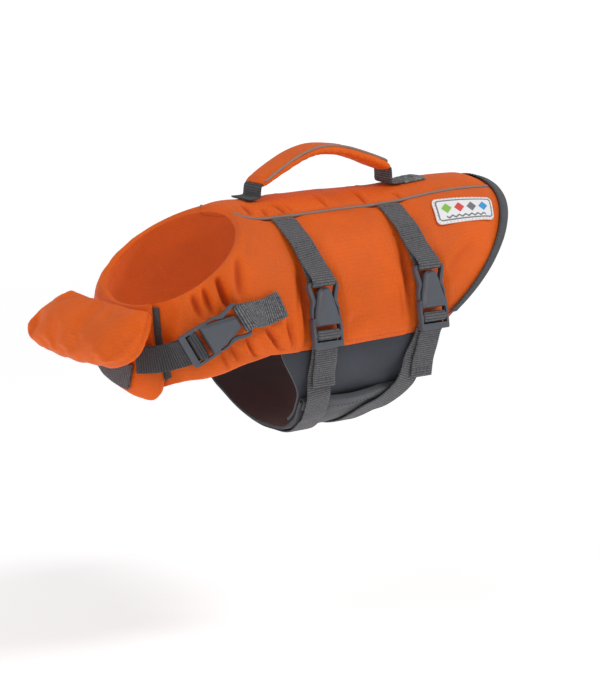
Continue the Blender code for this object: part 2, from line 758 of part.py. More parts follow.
def make_girth_strap(tag, path, tail_shift, tail_end):
    """Both pieces of webbing and the buckle; tail_shift is how far aft the loose end drifts."""
    seat = girth_seat(path)
    # upper webbing: seam, round the male bar and back under itself
    first = surface_path(path, SEAM + SEAM_CLEAR, 38, 5, upper_lift(path, SINGLE))
    raised = surface_path(path, 43, 52, 2, upper_lift(path, DOUBLE))
    under = surface_path(path, 52, 45, 2, upper_lift(path, SINGLE))
    fold = rounded([raised[-1]] + bar_fold(seat) + [under[0]], 0.0018)
    ribbon("girth_upper_" + tag, "grey_webbing", first + raised[:-1] + fold + under[1:])
    # long webbing: right seam, belly, behind the frame, over the middle bar and out as a tail
    right = surface_path(path, 360 - SEAM - SEAM_CLEAR, 300, 8, right_lift(path))
    belly = surface_path(path, 293, 96.5, 28, load_lift)
    near = (seat.at(0.0158, -0.0016), seat.across)
    tail = []
    for k in range(1, 5):
        t = mix(98, tail_end, (k - 1) / 3)
        y = curve(path, 91) + tail_shift * k / 4
        lift = load_lift(t) + WEB + 3.5 * GAP
        tail.append((lifted(ring_at(y, t), t, lift), seat.across))
    ladder = rounded([near] + ladder_turn(seat) + [tail[0]], 0.0016)
    ribbon("girth_web_" + tag, "grey_webbing", right + belly + ladder + tail[1:])
    buckle_male("buckle_male_" + tag, seat)
    buckle_female("buckle_female_" + tag, seat)


def right_lift(path):
    def lift(t):
        angle = 360 - t
        return RIGHT_FOAM.at(form_point(ring_at(curve(path, angle), angle), -angle)) + SINGLE
    return lift


# ---- neck strap ------------------------------------------------------------------------------

# How far back, in rings, the neck strap's middle lies at each angle
NECK_STRAP = (Row(66, 2.55), Row(73, 2.20), Row(86, 1.37), Row(101, 0.95), Row(120, 0.79), Row(136, 0.70),
              Row(148, 0.64), Row(160, 0.60))
NECK_BUCKLE_AT = 103.0
NECK_SEAT = 0.0016
BREAST_TOP = LAP + TAPE + 4 * GAP + TONGUE


def breast_cover(t):
    """Height of the outermost cloth where the neck strap runs: the left flank, then the lapped end."""
    return mix(FOAM, BREAST_TOP + 0.0002, smooth((t - 124) / 17))


def neck_path(start, stop, count, lift):
    stations = []
    for k in range(count + 1):
        t = mix(start, stop, k / count)
        s = curve(NECK_STRAP, t)
        ahead = form_point(curve(NECK_STRAP, t + 2), t + 2) - form_point(curve(NECK_STRAP, t - 2), t - 2)
        stations.append((lifted(s, t, lift(t)), ahead.cross(outward(s, t))))
    return stations


def make_neck_strap():
    s = curve(NECK_STRAP, NECK_BUCKLE_AT)
    ahead = form_point(0.80, 120) - form_point(1.37, 86)
    seat = Seat(s, NECK_BUCKLE_AT, ahead, FOAM + NECK_SEAT)
    # the loop on the flank: two layers round the male bar
    over = neck_path(73.2, 79, 3, lambda t: FOAM + DOUBLE)
    under = neck_path(79, 73.2, 3, lambda t: FOAM + SINGLE)
    fold = rounded([over[-1]] + bar_fold(seat) + [under[0]], 0.0017)
    ribbon("neck_patch_web", "grey_webbing", over[:-1] + fold + under[1:])
    # the long webbing: from the breast, behind the frame, over the middle bar and back as a tail
    load = neck_path(154, 126, 7, lambda t: breast_cover(t) + SINGLE + (WEB + GAP) * smooth((t - 142) / 10))
    tail = neck_path(130, 153, 7, lambda t: breast_cover(t) + DOUBLE + (WEB + GAP) * smooth((t - 142) / 10))
    near = (seat.at(0.0158, -0.0018), seat.across)
    ladder = rounded([near] + ladder_turn(seat) + [tail[0]], 0.0016)
    ribbon("neck_web", "grey_webbing", load + bridge(load[-1], ladder[0], 4) + ladder[:-1]
           + bridge(ladder[-2], tail[0], 4) + tail)
    buckle_male("buckle_male_neck", seat)
    buckle_female("buckle_female_neck", seat)


TAB_CORNER = (0.80, 161.5)
TAB_END = (0.58, 196.0)


def make_anchor_tab():
    """Webbing sewn slantwise on the lapped end, under the neck strap and the chin float."""
    stations = []
    for k in range(7):
        f = k / 6
        s, t = mix(TAB_CORNER[0], TAB_END[0], f), mix(TAB_CORNER[1], TAB_END[1], f)
        ahead = form_point(TAB_END[0], TAB_END[1]) - form_point(*TAB_CORNER)
        lift = lapped_cover(s, t) + SINGLE + 0.0001
        stations.append((lifted(s, t, lift), ahead.cross(outward(s, t))))
    ribbon("neck_anchor_tab", "grey_webbing", stations)


def lapped_cover(s, t):
    """Height of the lapped end's outer face; t is the angle from the top by the left."""
    return lap_lift(360 - t) + mix(FOAM, TONGUE, smooth((360 - t - 130) / 40))


def make_breast_tape():
    outer = {}
    inner = {}
    for i in range(9):
        s = mix(0.05, 0.98, i / 8)
        end = 360 - curve(TONGUE_END, s * 1.05)
        for j in range(3):
            t = mix(end - 4.2, end + 7, j / 2)
            inner[i, j] = lifted(s, t, left_cover(s, t) + GAP)
            outer[i, j] = lifted(s, t, left_cover(s, t) + GAP + TAPE)
    shell("breast_tape", "grey_webbing", outer, inner, grid_cells(8, 2))


# ---- handle, float and patches ---------------------------------------------------------------

GripRow = namedtuple("GripRow", "y z half_width half_height")
GRIP = (
    GripRow(-0.0450, 0.0180, 0.0098, 0.0020),
    GripRow(-0.0410, 0.0203, 0.0104, 0.0030),
    GripRow(-0.0306, 0.0258, 0.0106, 0.0034),
    GripRow(-0.0180, 0.0316, 0.0106, 0.0035),
    GripRow(-0.0049, 0.0352, 0.0106, 0.0035),
    GripRow(0.0060, 0.0356, 0.0106, 0.0035),
    GripRow(0.0177, 0.0337, 0.0106, 0.0035),
    GripRow(0.0284, 0.0304, 0.0106, 0.0035),
    GripRow(0.0380, 0.0269, 0.0106, 0.0035),
    GripRow(0.0450, 0.0241, 0.0106, 0.0035),
    GripRow(0.0500, 0.0220, 0.0106, 0.0034),
    GripRow(0.0526, 0.0208, 0.0102, 0.0024),
)
GRIP_STEPS = 18
GRIP_SIDES = 12
GRIP_SQUARE = 0.9
GRIP_WEB_WIDTH = 0.0185


def grip_value(field, f):
    place = f * (len(GRIP) - 1)
    return curve([Row(k, getattr(row, field)) for k, row in enumerate(GRIP)], place)


def grip_frame(f):
    """Middle of the grip, its upward direction and its size at f from front to rear."""
    middle = Vector((0, grip_value("y", f), grip_value("z", f)))
    before, after = f - 0.004, f + 0.004
    ahead = Vector((0, grip_value("y", after) - grip_value("y", before),
                    grip_value("z", after) - grip_value("z", before)))
    up = Vector((1, 0, 0)).cross(ahead).normalized()
    return middle, up, grip_value("half_width", f), grip_value("half_height", f)


def make_handle():
    rings = []
    piping = []
    for k in range(GRIP_STEPS + 1):
        f = k / GRIP_STEPS
        middle, up, half_width, half_height = grip_frame(f)
        ring = []
        for n in range(GRIP_SIDES):
            a = 2 * math.pi * (n + 0.5) / GRIP_SIDES
            x = math.copysign(abs(math.cos(a)) ** GRIP_SQUARE, math.cos(a)) * half_width
            z = math.copysign(abs(math.sin(a)) ** GRIP_SQUARE, math.sin(a)) * half_height
            ring.append(middle + Vector((x, 0, 0)) + up * z)
        rings.append(ring)
        if 1 <= k < GRIP_STEPS:
            slant = math.radians(mix(18, 60, f))
            reach = PIPING_RADIUS + GAP
            piping.append(middle + Vector(((half_width + reach) * math.cos(slant), 0, 0))
                          + up * (half_height + reach) * math.sin(slant))
    loft("handle_grip", "orange_cloth", rings)
    tube("handle_piping", "reflective_piping", piping, PIPING_RADIUS * 0.8)
    make_handle_webs()


def make_handle_webs():
    """Webbing from each end of the grip, down and out along the spine panel."""
    across = Vector((1, 0, 0))
    for name, front in (("handle_web_front", True), ("handle_web_rear", False)):
        sign = -1 if front else 1
        middle, up, _, _ = grip_frame(0.0 if front else 1.0)
        ahead = across.cross(up) * -sign
        start = middle + ahead * 0.0004
        shoulder = middle + ahead * 0.0020
        foot_y = [middle.y + sign * d for d in (0.0056, 0.0086, 0.0116)]
        feet = [Vector((0, y, spine_top(y) + SINGLE)) for y in foot_y]
        knee = Vector((0, middle.y + sign * 0.0022, (middle.z + feet[0].z) / 2))
        turn = Vector((0, middle.y + sign * 0.0024, feet[0].z + 0.0002))
        corners = [start, shoulder, knee, turn] + feet
        path = rounded([(point, across) for point in corners], 0.0020)
        ribbon(name, "grey_webbing", path, GRIP_WEB_WIDTH)


def spine_top(y):
    s = spine_ring(y)
    return lifted(s, 0.0, spine_cover(s, 0.0)).z


def raised_patch(name, material, corners, columns, rows, cover, thickness):
    """Flat piece on a panel between four (ring, angle) corners."""
    outer = {}
    inner = {}
    for i in range(columns + 1):
        for j in range(rows + 1):
            f, g = i / columns, j / rows
            s = mix(mix(corners[0][0], corners[1][0], f), mix(corners[3][0], corners[2][0], f), g)
            t = mix(mix(corners[0][1], corners[1][1], f), mix(corners[3][1], corners[2][1], f), g)
            height = cover(s, t) + GAP * 1.3
            inner[i, j] = lifted(s, t, height)
            outer[i, j] = lifted(s, t, height + thickness)
    shell(name, material, outer, inner, grid_cells(columns, rows))


LABEL_CORNERS = ((5.56, 29), (6.50, 34), (6.36, 47.5), (5.44, 45))
HOOK_FROM = 0.0655
HOOK_TO = 0.0840
HOOK_HALF = 7.6  # degrees


def make_patches():
    raised_patch("label_patch", "white_patch", LABEL_CORNERS, 8, 4, left_cover, 0.0010)
    front, back = spine_ring(HOOK_FROM), spine_ring(HOOK_TO)
    corners = ((front, HOOK_HALF), (back, HOOK_HALF), (back, -HOOK_HALF), (front, -HOOK_HALF))
    raised_patch("hook_patch", "rough_tape", corners, 6, 4, spine_cover, 0.0013)


FLOAT = 0.0190
FLOAT_EDGE = 0.0046
FLOAT_REACH = 0.017
FLOAT_HINGE = Vector((-0.0028, -0.1522, -0.0458))
FLOAT_FRONT = Vector((-0.0048, -0.1792, -0.0762))
FLOAT_HALF_HINGE = 0.0410
FLOAT_HALF_FRONT = 0.0625
FLOAT_COLUMNS = 14
FLOAT_ROWS = 8


def float_place(p, q):
    """Point of the float's middle plane; p runs from the right to the left, q from the hinge out."""
    across = p * mix(FLOAT_HALF_HINGE, FLOAT_HALF_FRONT, q ** 0.9) * (1 - 0.09 * q ** 6)
    depth = q * (1 - 0.12 * p ** 2 - 0.16 * p ** 8)
    along = FLOAT_FRONT - FLOAT_HINGE
    return FLOAT_HINGE + along * depth + Vector((across, 0.0030 * p * p * (1 - q), 0.0))


def make_chin_float():
    face = Vector((1, 0, 0)).cross(FLOAT_FRONT - FLOAT_HINGE).normalized() * -1
    middle = {}
    for i in range(FLOAT_COLUMNS + 1):
        for j in range(FLOAT_ROWS + 1):
            p = -math.cos(math.pi * i / FLOAT_COLUMNS)
            q = (1 - math.cos(math.pi * j / FLOAT_ROWS)) / 2
            middle[i, j] = float_place(p, q)
    cells = grid_cells(FLOAT_COLUMNS, FLOAT_ROWS)
    edges = [(middle[a], middle[b]) for a, b in rim_of(cells)]
    outer = {}
    inner = {}
    for key, point in middle.items():
        half = (FLOAT_EDGE + (FLOAT - FLOAT_EDGE) * dome(distance_to(point, edges) / FLOAT_REACH)) / 2
        outer[key] = point + face * half
        inner[key] = point - face * half
    shell("chin_float", "orange_cloth", outer, inner, cells)


def main():
    for old in list(bpy.data.objects):
        bpy.data.objects.remove(old, do_unlink=True)
    make_spine()
    make_flanks()
    make_skirt()
    make_belly()
    make_bindings()
    make_piping()
    make_girth_strap("front", FRONT_STRAP, 0.003, 117)
    make_girth_strap("rear", REAR_STRAP, -0.003, 121)
    make_neck_strap()
    make_anchor_tab()
    make_breast_tape()
    make_handle()
    make_patches()
    make_chin_float()


main()
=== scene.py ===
"""Cloth, webbing and moulded plastic for a toy dog's life jacket, laid over its solids.

Metres, +Z up, +Y towards the tail and +X to the dog's left. A place on the jacket is a ring
place s, counted from the neck to the rear, and an angle t in degrees from the top centre, positive
to the left.
"""

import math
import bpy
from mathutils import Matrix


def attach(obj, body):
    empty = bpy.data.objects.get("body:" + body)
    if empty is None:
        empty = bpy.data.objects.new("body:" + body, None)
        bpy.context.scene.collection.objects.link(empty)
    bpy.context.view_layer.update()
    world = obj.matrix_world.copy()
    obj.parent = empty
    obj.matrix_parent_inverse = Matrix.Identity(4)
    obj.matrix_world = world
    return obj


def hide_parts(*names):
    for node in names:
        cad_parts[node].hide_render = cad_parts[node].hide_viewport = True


bl_info = {
    "name": "Dog life jacket",
    "version": (1, 0, 0),
    "blender": (4, 5, 0),
    "location": "View3D > Sidebar > Jacket",
    "description": "Dresses the jacket's solids in ripstop cloth, webbing, tape and plastic",
    "category": "Object",
}

from collections import namedtuple

import bmesh
import bpy
import numpy as np
from mathutils import Matrix, Vector
from mathutils.bvhtree import BVHTree

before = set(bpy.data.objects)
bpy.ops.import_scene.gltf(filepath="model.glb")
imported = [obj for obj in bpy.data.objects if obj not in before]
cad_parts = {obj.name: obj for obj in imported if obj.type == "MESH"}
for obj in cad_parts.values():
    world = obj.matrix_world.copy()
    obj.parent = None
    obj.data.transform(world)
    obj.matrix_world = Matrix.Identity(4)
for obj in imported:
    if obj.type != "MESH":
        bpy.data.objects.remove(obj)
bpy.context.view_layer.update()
ROOT = "root"
FINISHED = "finished_"

# ---- sizes shared with the solids ------------------------------------------------------------

GAP = 0.0003
FOAM = 0.0065
TURNED_EDGE = 0.0030
BOUND_EDGE = 0.0024
TURNED_REACH = 0.009
SPINE_REACH = 0.016
BOUND_REACH = 0.018
BINDING_LEG = 0.0065
BINDING_TAPE = 0.0008
SKIRT = 0.0018
BELLY = 0.0022
BELLY_SAG = 0.0022
LAP = 0.0026
TONGUE = 0.0044
TAPE = 0.0010
PIPING_RADIUS = 0.0011
WEB_WIDTH = 0.0165
WEB = 0.0014
STRAP_PRESS = 0.0012
BUCKLE_PRESS = 0.0016
BUCKLE_SEAT = 0.0010
PRESS_HALF_WIDTH = 0.0100
PRESS_FADE = 0.0090
SEAM = 21.0
FLANK_LOW = 98.0
SEAM_GAP = 0.14
BELLY_TOP = 128.0
BELLY_BOUND = 5.2
SKIRT_LOW = 152.0
LEFT_END = 165.0
BUCKLE_AT = 80.0
REAR_BINDING_SHORT = 6.5
HEM_RING = 2.30
REAR_RING = 5.20

Ring = namedtuple("Ring", "top_y top_z bottom_y bottom_z half_width upper lower")
RINGS = (
    Ring(-0.073, 0.0020, -0.1400, -0.0460, 0.0480, 1.9, 2.3),
    Ring(-0.066, 0.0010, -0.1430, -0.0980, 0.0560, 1.9, 2.3),
    Ring(-0.055, 0.0000, -0.1180, -0.1260, 0.0600, 1.9, 2.2),
    Ring(-0.040, 0.0000, -0.0400, -0.1340, 0.0605, 1.9, 2.0),
    Ring(0.000, 0.0005, 0.0000, -0.1325, 0.0615, 1.9, 2.0),
    Ring(0.040, 0.0010, 0.0400, -0.1300, 0.0625, 1.9, 2.0),
    Ring(0.090, 0.0045, 0.0900, -0.1255, 0.0610, 1.9, 2.0),
    Ring(0.136, 0.0030, 0.1360, -0.1210, 0.0560, 1.9, 2.0),
)
Row = namedtuple("Row", "at value")
SPINE_FOAM = (Row(-0.070, 0.0085), Row(-0.020, 0.0090), Row(0.020, 0.0082), Row(0.060, 0.0062),
              Row(0.110, 0.0062))
REAR_EDGE = (Row(0, 6.92), Row(21, 6.91), Row(37, 6.80), Row(53, 6.54), Row(68, 6.18),
             Row(81, 5.80), Row(96, 5.30))
LEFT_HEM = (Row(98, 2.30), Row(103, 1.97), Row(109, 1.74), Row(118, 1.45), Row(128, 1.20),
            Row(141, 1.07), Row(165, 1.00))
RIGHT_HEM = (Row(98, 2.30), Row(109, 1.74), Row(118, 1.45), Row(128, 1.18), Row(141, 1.00),
             Row(168, 0.86), Row(186, 0.92), Row(200, 1.06), Row(209, 1.15), Row(215, 1.10),
             Row(219, 0.96))
TONGUE_END = (Row(0.0, 210), Row(0.4, 214), Row(0.8, 219), Row(1.2, 219))
FRONT_STRAP = (Row(20, -0.0425), Row(42, -0.0430), Row(62, -0.0405), Row(117, -0.0395),
               Row(134, -0.0355), Row(144, -0.0320), Row(165, -0.0285), Row(180, -0.0280))
REAR_STRAP = (Row(20, 0.0390), Row(42, 0.0378), Row(62, 0.0392), Row(91, 0.0400), Row(100, 0.0370),
              Row(110, 0.0330), Row(120, 0.0290), Row(130, 0.0235), Row(144, 0.0110),
              Row(160, 0.0040), Row(180, 0.0010))
NECK_STRAP = (Row(66, 2.55), Row(73, 2.20), Row(86, 1.37), Row(101, 0.95), Row(120, 0.79),
              Row(136, 0.70), Row(148, 0.64), Row(160, 0.60))


def hermite(x, y, at):
    """Smooth values at some places, through the values y that belong to places x."""
    i = np.clip(np.searchsorted(x, at, side="right") - 1, 0, len(x) - 2)
    order = np.arange(len(x))
    low, high = np.maximum(order - 1, 0), np.minimum(order + 1, len(x) - 1)
    wide = (...,) + (None,) * (y.ndim - 1)  # lets each place work on a whole point
    slope = (y[high] - y[low]) / (x[high] - x[low])[wide]
    span = (x[i + 1] - x[i])[wide]
    f = ((at - x[i]) / (x[i + 1] - x[i]))[wide]
    return (y[i] * (1 + 2 * f) * (1 - f) ** 2 + y[i + 1] * f * f * (3 - 2 * f)
            + span * (slope[i] * f * (1 - f) ** 2 - slope[i + 1] * f * f * (1 - f)))


def curve(rows, at):
    """Smooth value through a table's rows, held level past its ends; at may be an array."""
    x, y = np.array([(row.at, row.value) for row in rows], float).T
    return hermite(x, y, np.clip(np.asarray(at, float), x[0], x[-1]))


def ring_value(field, s):
    values = np.array([getattr(ring, field) for ring in RINGS])
    last = len(values) - 1
    i = np.clip(np.floor(s).astype(int), 0, last - 1)
    f = s - i
    p1, p2 = values[i], values[i + 1]
    p0 = np.where(i > 0, values[np.maximum(i - 1, 0)], 2 * p1 - p2)
    p3 = np.where(i + 2 <= last, values[np.minimum(i + 2, last)], 2 * p2 - p1)
    cubic = 3 * (p1 - p2) + p3 - p0
    return p1 + 0.5 * f * (p2 - p0 + f * (2 * p0 - 5 * p1 + 4 * p2 - p3 + f * cubic))


def form(s, t):
    """Points of the inner form, where the wearer's back and chest would be."""
    s, t = np.broadcast_arrays(np.asarray(s, float), np.asarray(t, float))
    angle = np.radians(t)
    sine, cosine = np.sin(angle), np.cos(angle)
    power = 2 / np.where(cosine > 0, ring_value("upper", s), ring_value("lower", s))
    side = np.sign(sine) * np.abs(sine) ** power
    rise = np.sign(cosine) * np.abs(cosine) ** power
    top_y, bottom_y = ring_value("top_y", s), ring_value("bottom_y", s)
    top_z, bottom_z = ring_value("top_z", s), ring_value("bottom_z", s)
    return np.stack([ring_value("half_width", s) * side,
                     (top_y + bottom_y) / 2 + (top_y - bottom_y) / 2 * rise,
                     (top_z + bottom_z) / 2 + (top_z - bottom_z) / 2 * rise], axis=-1)


def unit(v):
    return v / np.maximum(np.linalg.norm(v, axis=-1, keepdims=True), 1e-12)


def outward(s, t):
    along = form(s + 0.02, t) - form(s - 0.02, t)
    round_girth = form(s, t + 1.5) - form(s, t - 1.5)
    return unit(np.cross(round_girth, along))


def lifted(s, t, lift):
    return form(s, t) + outward(s, t) * np.asarray(lift)[..., None]


def ring_where(reaches, y, low, high=7.2):
    """The ring place between low and high where a length that grows with it comes to y."""
    y = np.asarray(y, float)
    low, high = np.full(y.shape, low), np.full(y.shape, high)
    for _ in range(30):
        middle = (low + high) / 2
        short = reaches(middle) < y
        low, high = np.where(short, middle, low), np.where(short, high, middle)
    return low


def ring_at(y, t):
    y, t = np.broadcast_arrays(np.asarray(y, float), np.asarray(t, float))
    return ring_where(lambda s: form(s, t)[..., 1], y, 1.2)


def seam_ring(y):
    return ring_where(lambda s: form(s, SEAM)[..., 1], y, 0.0)


def spine_ring(y):
    return ring_where(lambda s: ring_value("top_y", s), y, 0.0)


def mix(a, b, f):
    return a + (b - a) * f


def smooth(f):
    f = np.clip(f, 0.0, 1.0)
    return f * f * (3 - 2 * f)


def dome(f):
    return np.sqrt(1 - (1 - np.clip(f, 0.0, 1.0)) ** 2)


def spaced(count, start_crowd=0.5, end_crowd=0.5):
    """Shares from 0 to 1 that draw together at either end."""
    k = np.arange(count + 1) / count
    start = 1 - np.cos(math.pi / 2 * k)
    end = np.sin(math.pi / 2 * k)
    return k + start_crowd * (start - k) * (1 - k) + end_crowd * (end - k) * k


def line_distance(points, line):
    """Each point's distance to a line of points, and how far along it that is, from 0 to 1."""
    points = np.asarray(points)
    best = np.full(points.shape[:-1], 9.0)
    share = np.zeros(points.shape[:-1])
    for k in range(len(line) - 1):
        way = line[k + 1] - line[k]
        f = np.clip(((points - line[k]) @ way) / max(way @ way, 1e-14), 0, 1)
        away = np.linalg.norm(points - line[k] - f[..., None] * way, axis=-1)
        nearer = away < best
        best = np.where(nearer, away, best)
        share = np.where(nearer, (k + f) / (len(line) - 1), share)
    return best, share


def lengths(points, axis=0):
    """Length along each line of points, from 0 at its start."""
    steps = np.diff(points, axis=axis, prepend=np.take(points, [0], axis))
    return np.cumsum(np.linalg.norm(steps, axis=-1), axis=axis)


def resampled(points, step, others):
    """The points and what belongs to each, on a smooth curve and about a step apart."""
    points = np.asarray(points, float)
    length = lengths(points)
    keep = np.concatenate([[True], np.diff(length) > 1e-6])
    length = length[keep]
    at = np.linspace(0, length[-1], max(int(round(length[-1] / step)), 2) + 1)
    return [hermite(length, np.asarray(values, float)[keep], at) for values in (points, others)]


# ---- foam covers -----------------------------------------------------------------------------

TRUNK_HALF_WIDTH = 0.061
TRUNK_HALF_HEIGHT = 0.070


def girth_angle(place):
    """About what angle from the top each place lies at, on either side."""
    return np.degrees(np.arctan2(np.abs(place[..., 0]) / TRUNK_HALF_WIDTH,
                                 (place[..., 2] + TRUNK_HALF_HEIGHT) / TRUNK_HALF_HEIGHT))


def strap_press(place):
    """How much the straps and buckles press the foam down at points of the form."""
    angle = girth_angle(place)
    press = np.zeros(angle.shape)
    for path in (FRONT_STRAP, REAR_STRAP):
        off = np.abs(place[..., 1] - curve(path, angle))
        buckle = smooth((angle - 52) / 10) * (place[..., 0] > 0)
        under = 1 - smooth((off - PRESS_HALF_WIDTH) / PRESS_FADE)
        press = np.maximum(press, (STRAP_PRESS + BUCKLE_PRESS * buckle) * under)
    return np.where((np.abs(place[..., 0]) > 0.02) & (place[..., 2] > -0.09), press, 0.0)


def strap_clear(place, reach=0.0045):
    """0 under the girth straps and 1 away from them, so that a fold's ridge never lifts a strap."""
    angle = girth_angle(place)
    clear = np.ones(angle.shape)
    for path in (FRONT_STRAP, REAR_STRAP):
        off = np.abs(place[..., 1] - curve(path, angle))
        clear = np.minimum(clear, smooth((off - WEB_WIDTH / 2 - 0.0015) / reach))
    return clear


class Foam:
    """Thickness of a foam panel from how far a place is from its turned and its bound edges."""

    def __init__(self, turned, bound):
        self.turned = turned
        self.bound = bound

    def turned_way(self, place):
        return np.minimum.reduce([line_distance(place, line)[0] for line in self.turned])

    def edge_way(self, place):
        return np.minimum(self.turned_way(place), line_distance(place, self.bound)[0])

    def at(self, place, full=FOAM):
        turned_way = self.turned_way(place)
        bound_way = line_distance(place, self.bound)[0]
        turned = TURNED_EDGE + (full - TURNED_EDGE) * dome(turned_way / TURNED_REACH)
        bound = BOUND_EDGE + (full - BOUND_EDGE) * smooth(bound_way / BOUND_REACH)
        return np.maximum(np.minimum(turned, bound) - strap_press(place), BOUND_EDGE)


def flank_edges(hem, end, side):
    """The turned edges and the bound edge of a flank, as lines of points on the form."""
    sides = np.linspace(SEAM, FLANK_LOW, 24)
    seam_end = float(curve(REAR_EDGE, SEAM))
    low_end = float(curve(REAR_EDGE, FLANK_LOW))
    low = float(end[0].value)
    corner = float(end[-1].value)
    hem_t = np.linspace(FLANK_LOW, corner, 30)
    share = np.linspace(0, 1, 16)
    turned = [form(np.linspace(0, seam_end, 50), side * SEAM),
              form(0.0, side * np.linspace(SEAM, low, 60)),
              form(curve(hem, hem_t), side * hem_t),
              form(np.linspace(HEM_RING, low_end, 20), side * FLANK_LOW),
              form(share * float(curve(hem, corner)), side * curve(end, share * 1.05))]
    bound = form(curve(REAR_EDGE, sides), side * sides)
    return turned, bound


LEFT_TIP = (Row(0, LEFT_END), Row(2, LEFT_END))
LEFT_FOAM = Foam(*flank_edges(LEFT_HEM, LEFT_TIP, 1))
RIGHT_FOAM = Foam(*flank_edges(RIGHT_HEM, TONGUE_END, -1))


def left_cover(s, t):
    """Height of the left flank's outer face over the form; its front end is flat cloth."""
    full = mix(FOAM, LAP, smooth((t - 122) / 15))
    return np.where(full < TURNED_EDGE + 0.0005, full, LEFT_FOAM.at(form(s, t), full))


def lap_lift(t):
    """How far the right flank's inner face stands off the form; t runs on over the breast."""
    return (LAP + TAPE + 4 * GAP) * smooth((t - 152) / 36)


def right_cover(s, t):
    """Thickness of the right flank; t is positive."""
    return RIGHT_FOAM.at(form(s, -t), mix(FOAM, TONGUE, smooth((t - 130) / 40)))


SPINE_SIDE_LINES = [form(np.linspace(0, 6.91, 60), side * (SEAM - SEAM_GAP)) for side in (-1, 1)]
SPINE_ANGLES = np.linspace(-SEAM, SEAM, 12)
SPINE_FRONT_LINE = form(0.0, SPINE_ANGLES)
SPINE_REAR_LINE = form(curve(REAR_EDGE, np.abs(SPINE_ANGLES)), SPINE_ANGLES)


def spine_cover(s, t):
    place = form(s, t)
    full = curve(SPINE_FOAM, place[..., 1])
    side = np.minimum.reduce([line_distance(place, line)[0]
                              for line in SPINE_SIDE_LINES + [SPINE_FRONT_LINE]])
    turned = TURNED_EDGE + (full - TURNED_EDGE) * dome(side / SPINE_REACH)
    rear = line_distance(place, SPINE_REAR_LINE)[0]
    return np.minimum(turned, BOUND_EDGE + (full - BOUND_EDGE) * smooth(rear / BOUND_REACH))


def belly_front(t):
    return curve(FRONT_STRAP, t) - mix(0.030, 0.0110, smooth((t - 93) / 35))


def belly_rear(t):
    return curve(REAR_STRAP, t) + 0.0105


def skirt_ring(u, t):
    return ring_at(mix(belly_front(t), belly_rear(t), u), t)


def belly_lift(t):
    return (SKIRT + BINDING_TAPE + 3 * GAP) * (1 - smooth((t - 154) / 24))


def belly_sag(u, t):
    between = np.clip((u - 0.22) / 0.5, 0, 1)
    return BELLY_SAG * np.sin(math.pi * between) * (1 - smooth((t - BELLY_TOP) / 14))


def belly_point(u, t, lift):
    """Points of the belly panel; t runs from the left, under the belly and up the right."""
    u, t = np.broadcast_arrays(np.asarray(u, float), np.asarray(t, float))
    left = t <= 180
    turn = np.where(left, t, 360 - t)
    s = skirt_ring(u, turn)
    height = np.where(left, belly_lift(turn) + belly_sag(u, turn), 0.0) + lift
    return lifted(s, np.where(left, turn, -turn), height)


# ---- folds -----------------------------------------------------------------------------------

# A fold's middle line through three places, its half width and its depth in metres (a ridge is
# negative), and how much of the pushed cloth stands up beside it
Fold = namedtuple("Fold", "start middle end width depth shoulder")
NECK_FOLDS = (
    Fold((0.06, 94), (0.40, 92), (0.95, 89), 0.0025, 0.0050, 0.34),
    Fold((0.06, 100), (0.30, 97), (0.60, 94), 0.0026, -0.0020, 0.0),
    Fold((0.06, 105), (0.25, 104), (0.66, 98), 0.0019, 0.0036, 0.28),
    Fold((0.06, 115), (0.25, 112), (0.56, 106), 0.0020, 0.0032, 0.28),
    Fold((0.10, 70), (0.55, 74), (1.05, 80), 0.0030, 0.0026, 0.22),
    Fold((0.45, 147), (0.70, 141), (0.95, 142), 0.0018, 0.0020, 0.30),
)
HEM_FOLDS = (
    Fold((1.24, 103), (1.48, 105), (1.72, 107), 0.0015, 0.0021, 0.35),
    Fold((1.34, 98), (1.60, 100), (1.80, 102.5), 0.0016, 0.0022, 0.35),
    Fold((1.64, 91), (1.85, 95), (2.10, 99), 0.0014, 0.0028, 0.40),
    Fold((2.00, 84), (2.20, 90), (2.40, 95.5), 0.0019, 0.0034, 0.42),
    Fold((2.36, 80), (2.46, 88), (2.54, 95), 0.0017, 0.0026, 0.38),
)
BUCKLE_FOLDS = (
    Fold((2.72, 50), (2.70, 70), (2.74, 90), 0.0042, 0.0030, 0.15),
    Fold((2.60, 60), (2.52, 74), (2.60, 88), 0.0020, 0.0016, 0.35),
    Fold((4.78, 46), (4.66, 67), (4.60, 90), 0.0042, 0.0028, 0.15),
    Fold((4.50, 66), (4.44, 76), (4.50, 90), 0.0018, 0.0013, 0.35),
    Fold((3.42, 88), (3.60, 82), (3.95, 84), 0.0030, 0.0012, 0.30),
    Fold((5.35, 70), (5.55, 62), (5.95, 56), 0.0036, 0.0013, 0.25),
)
LEFT_FOLDS = NECK_FOLDS + HEM_FOLDS + BUCKLE_FOLDS
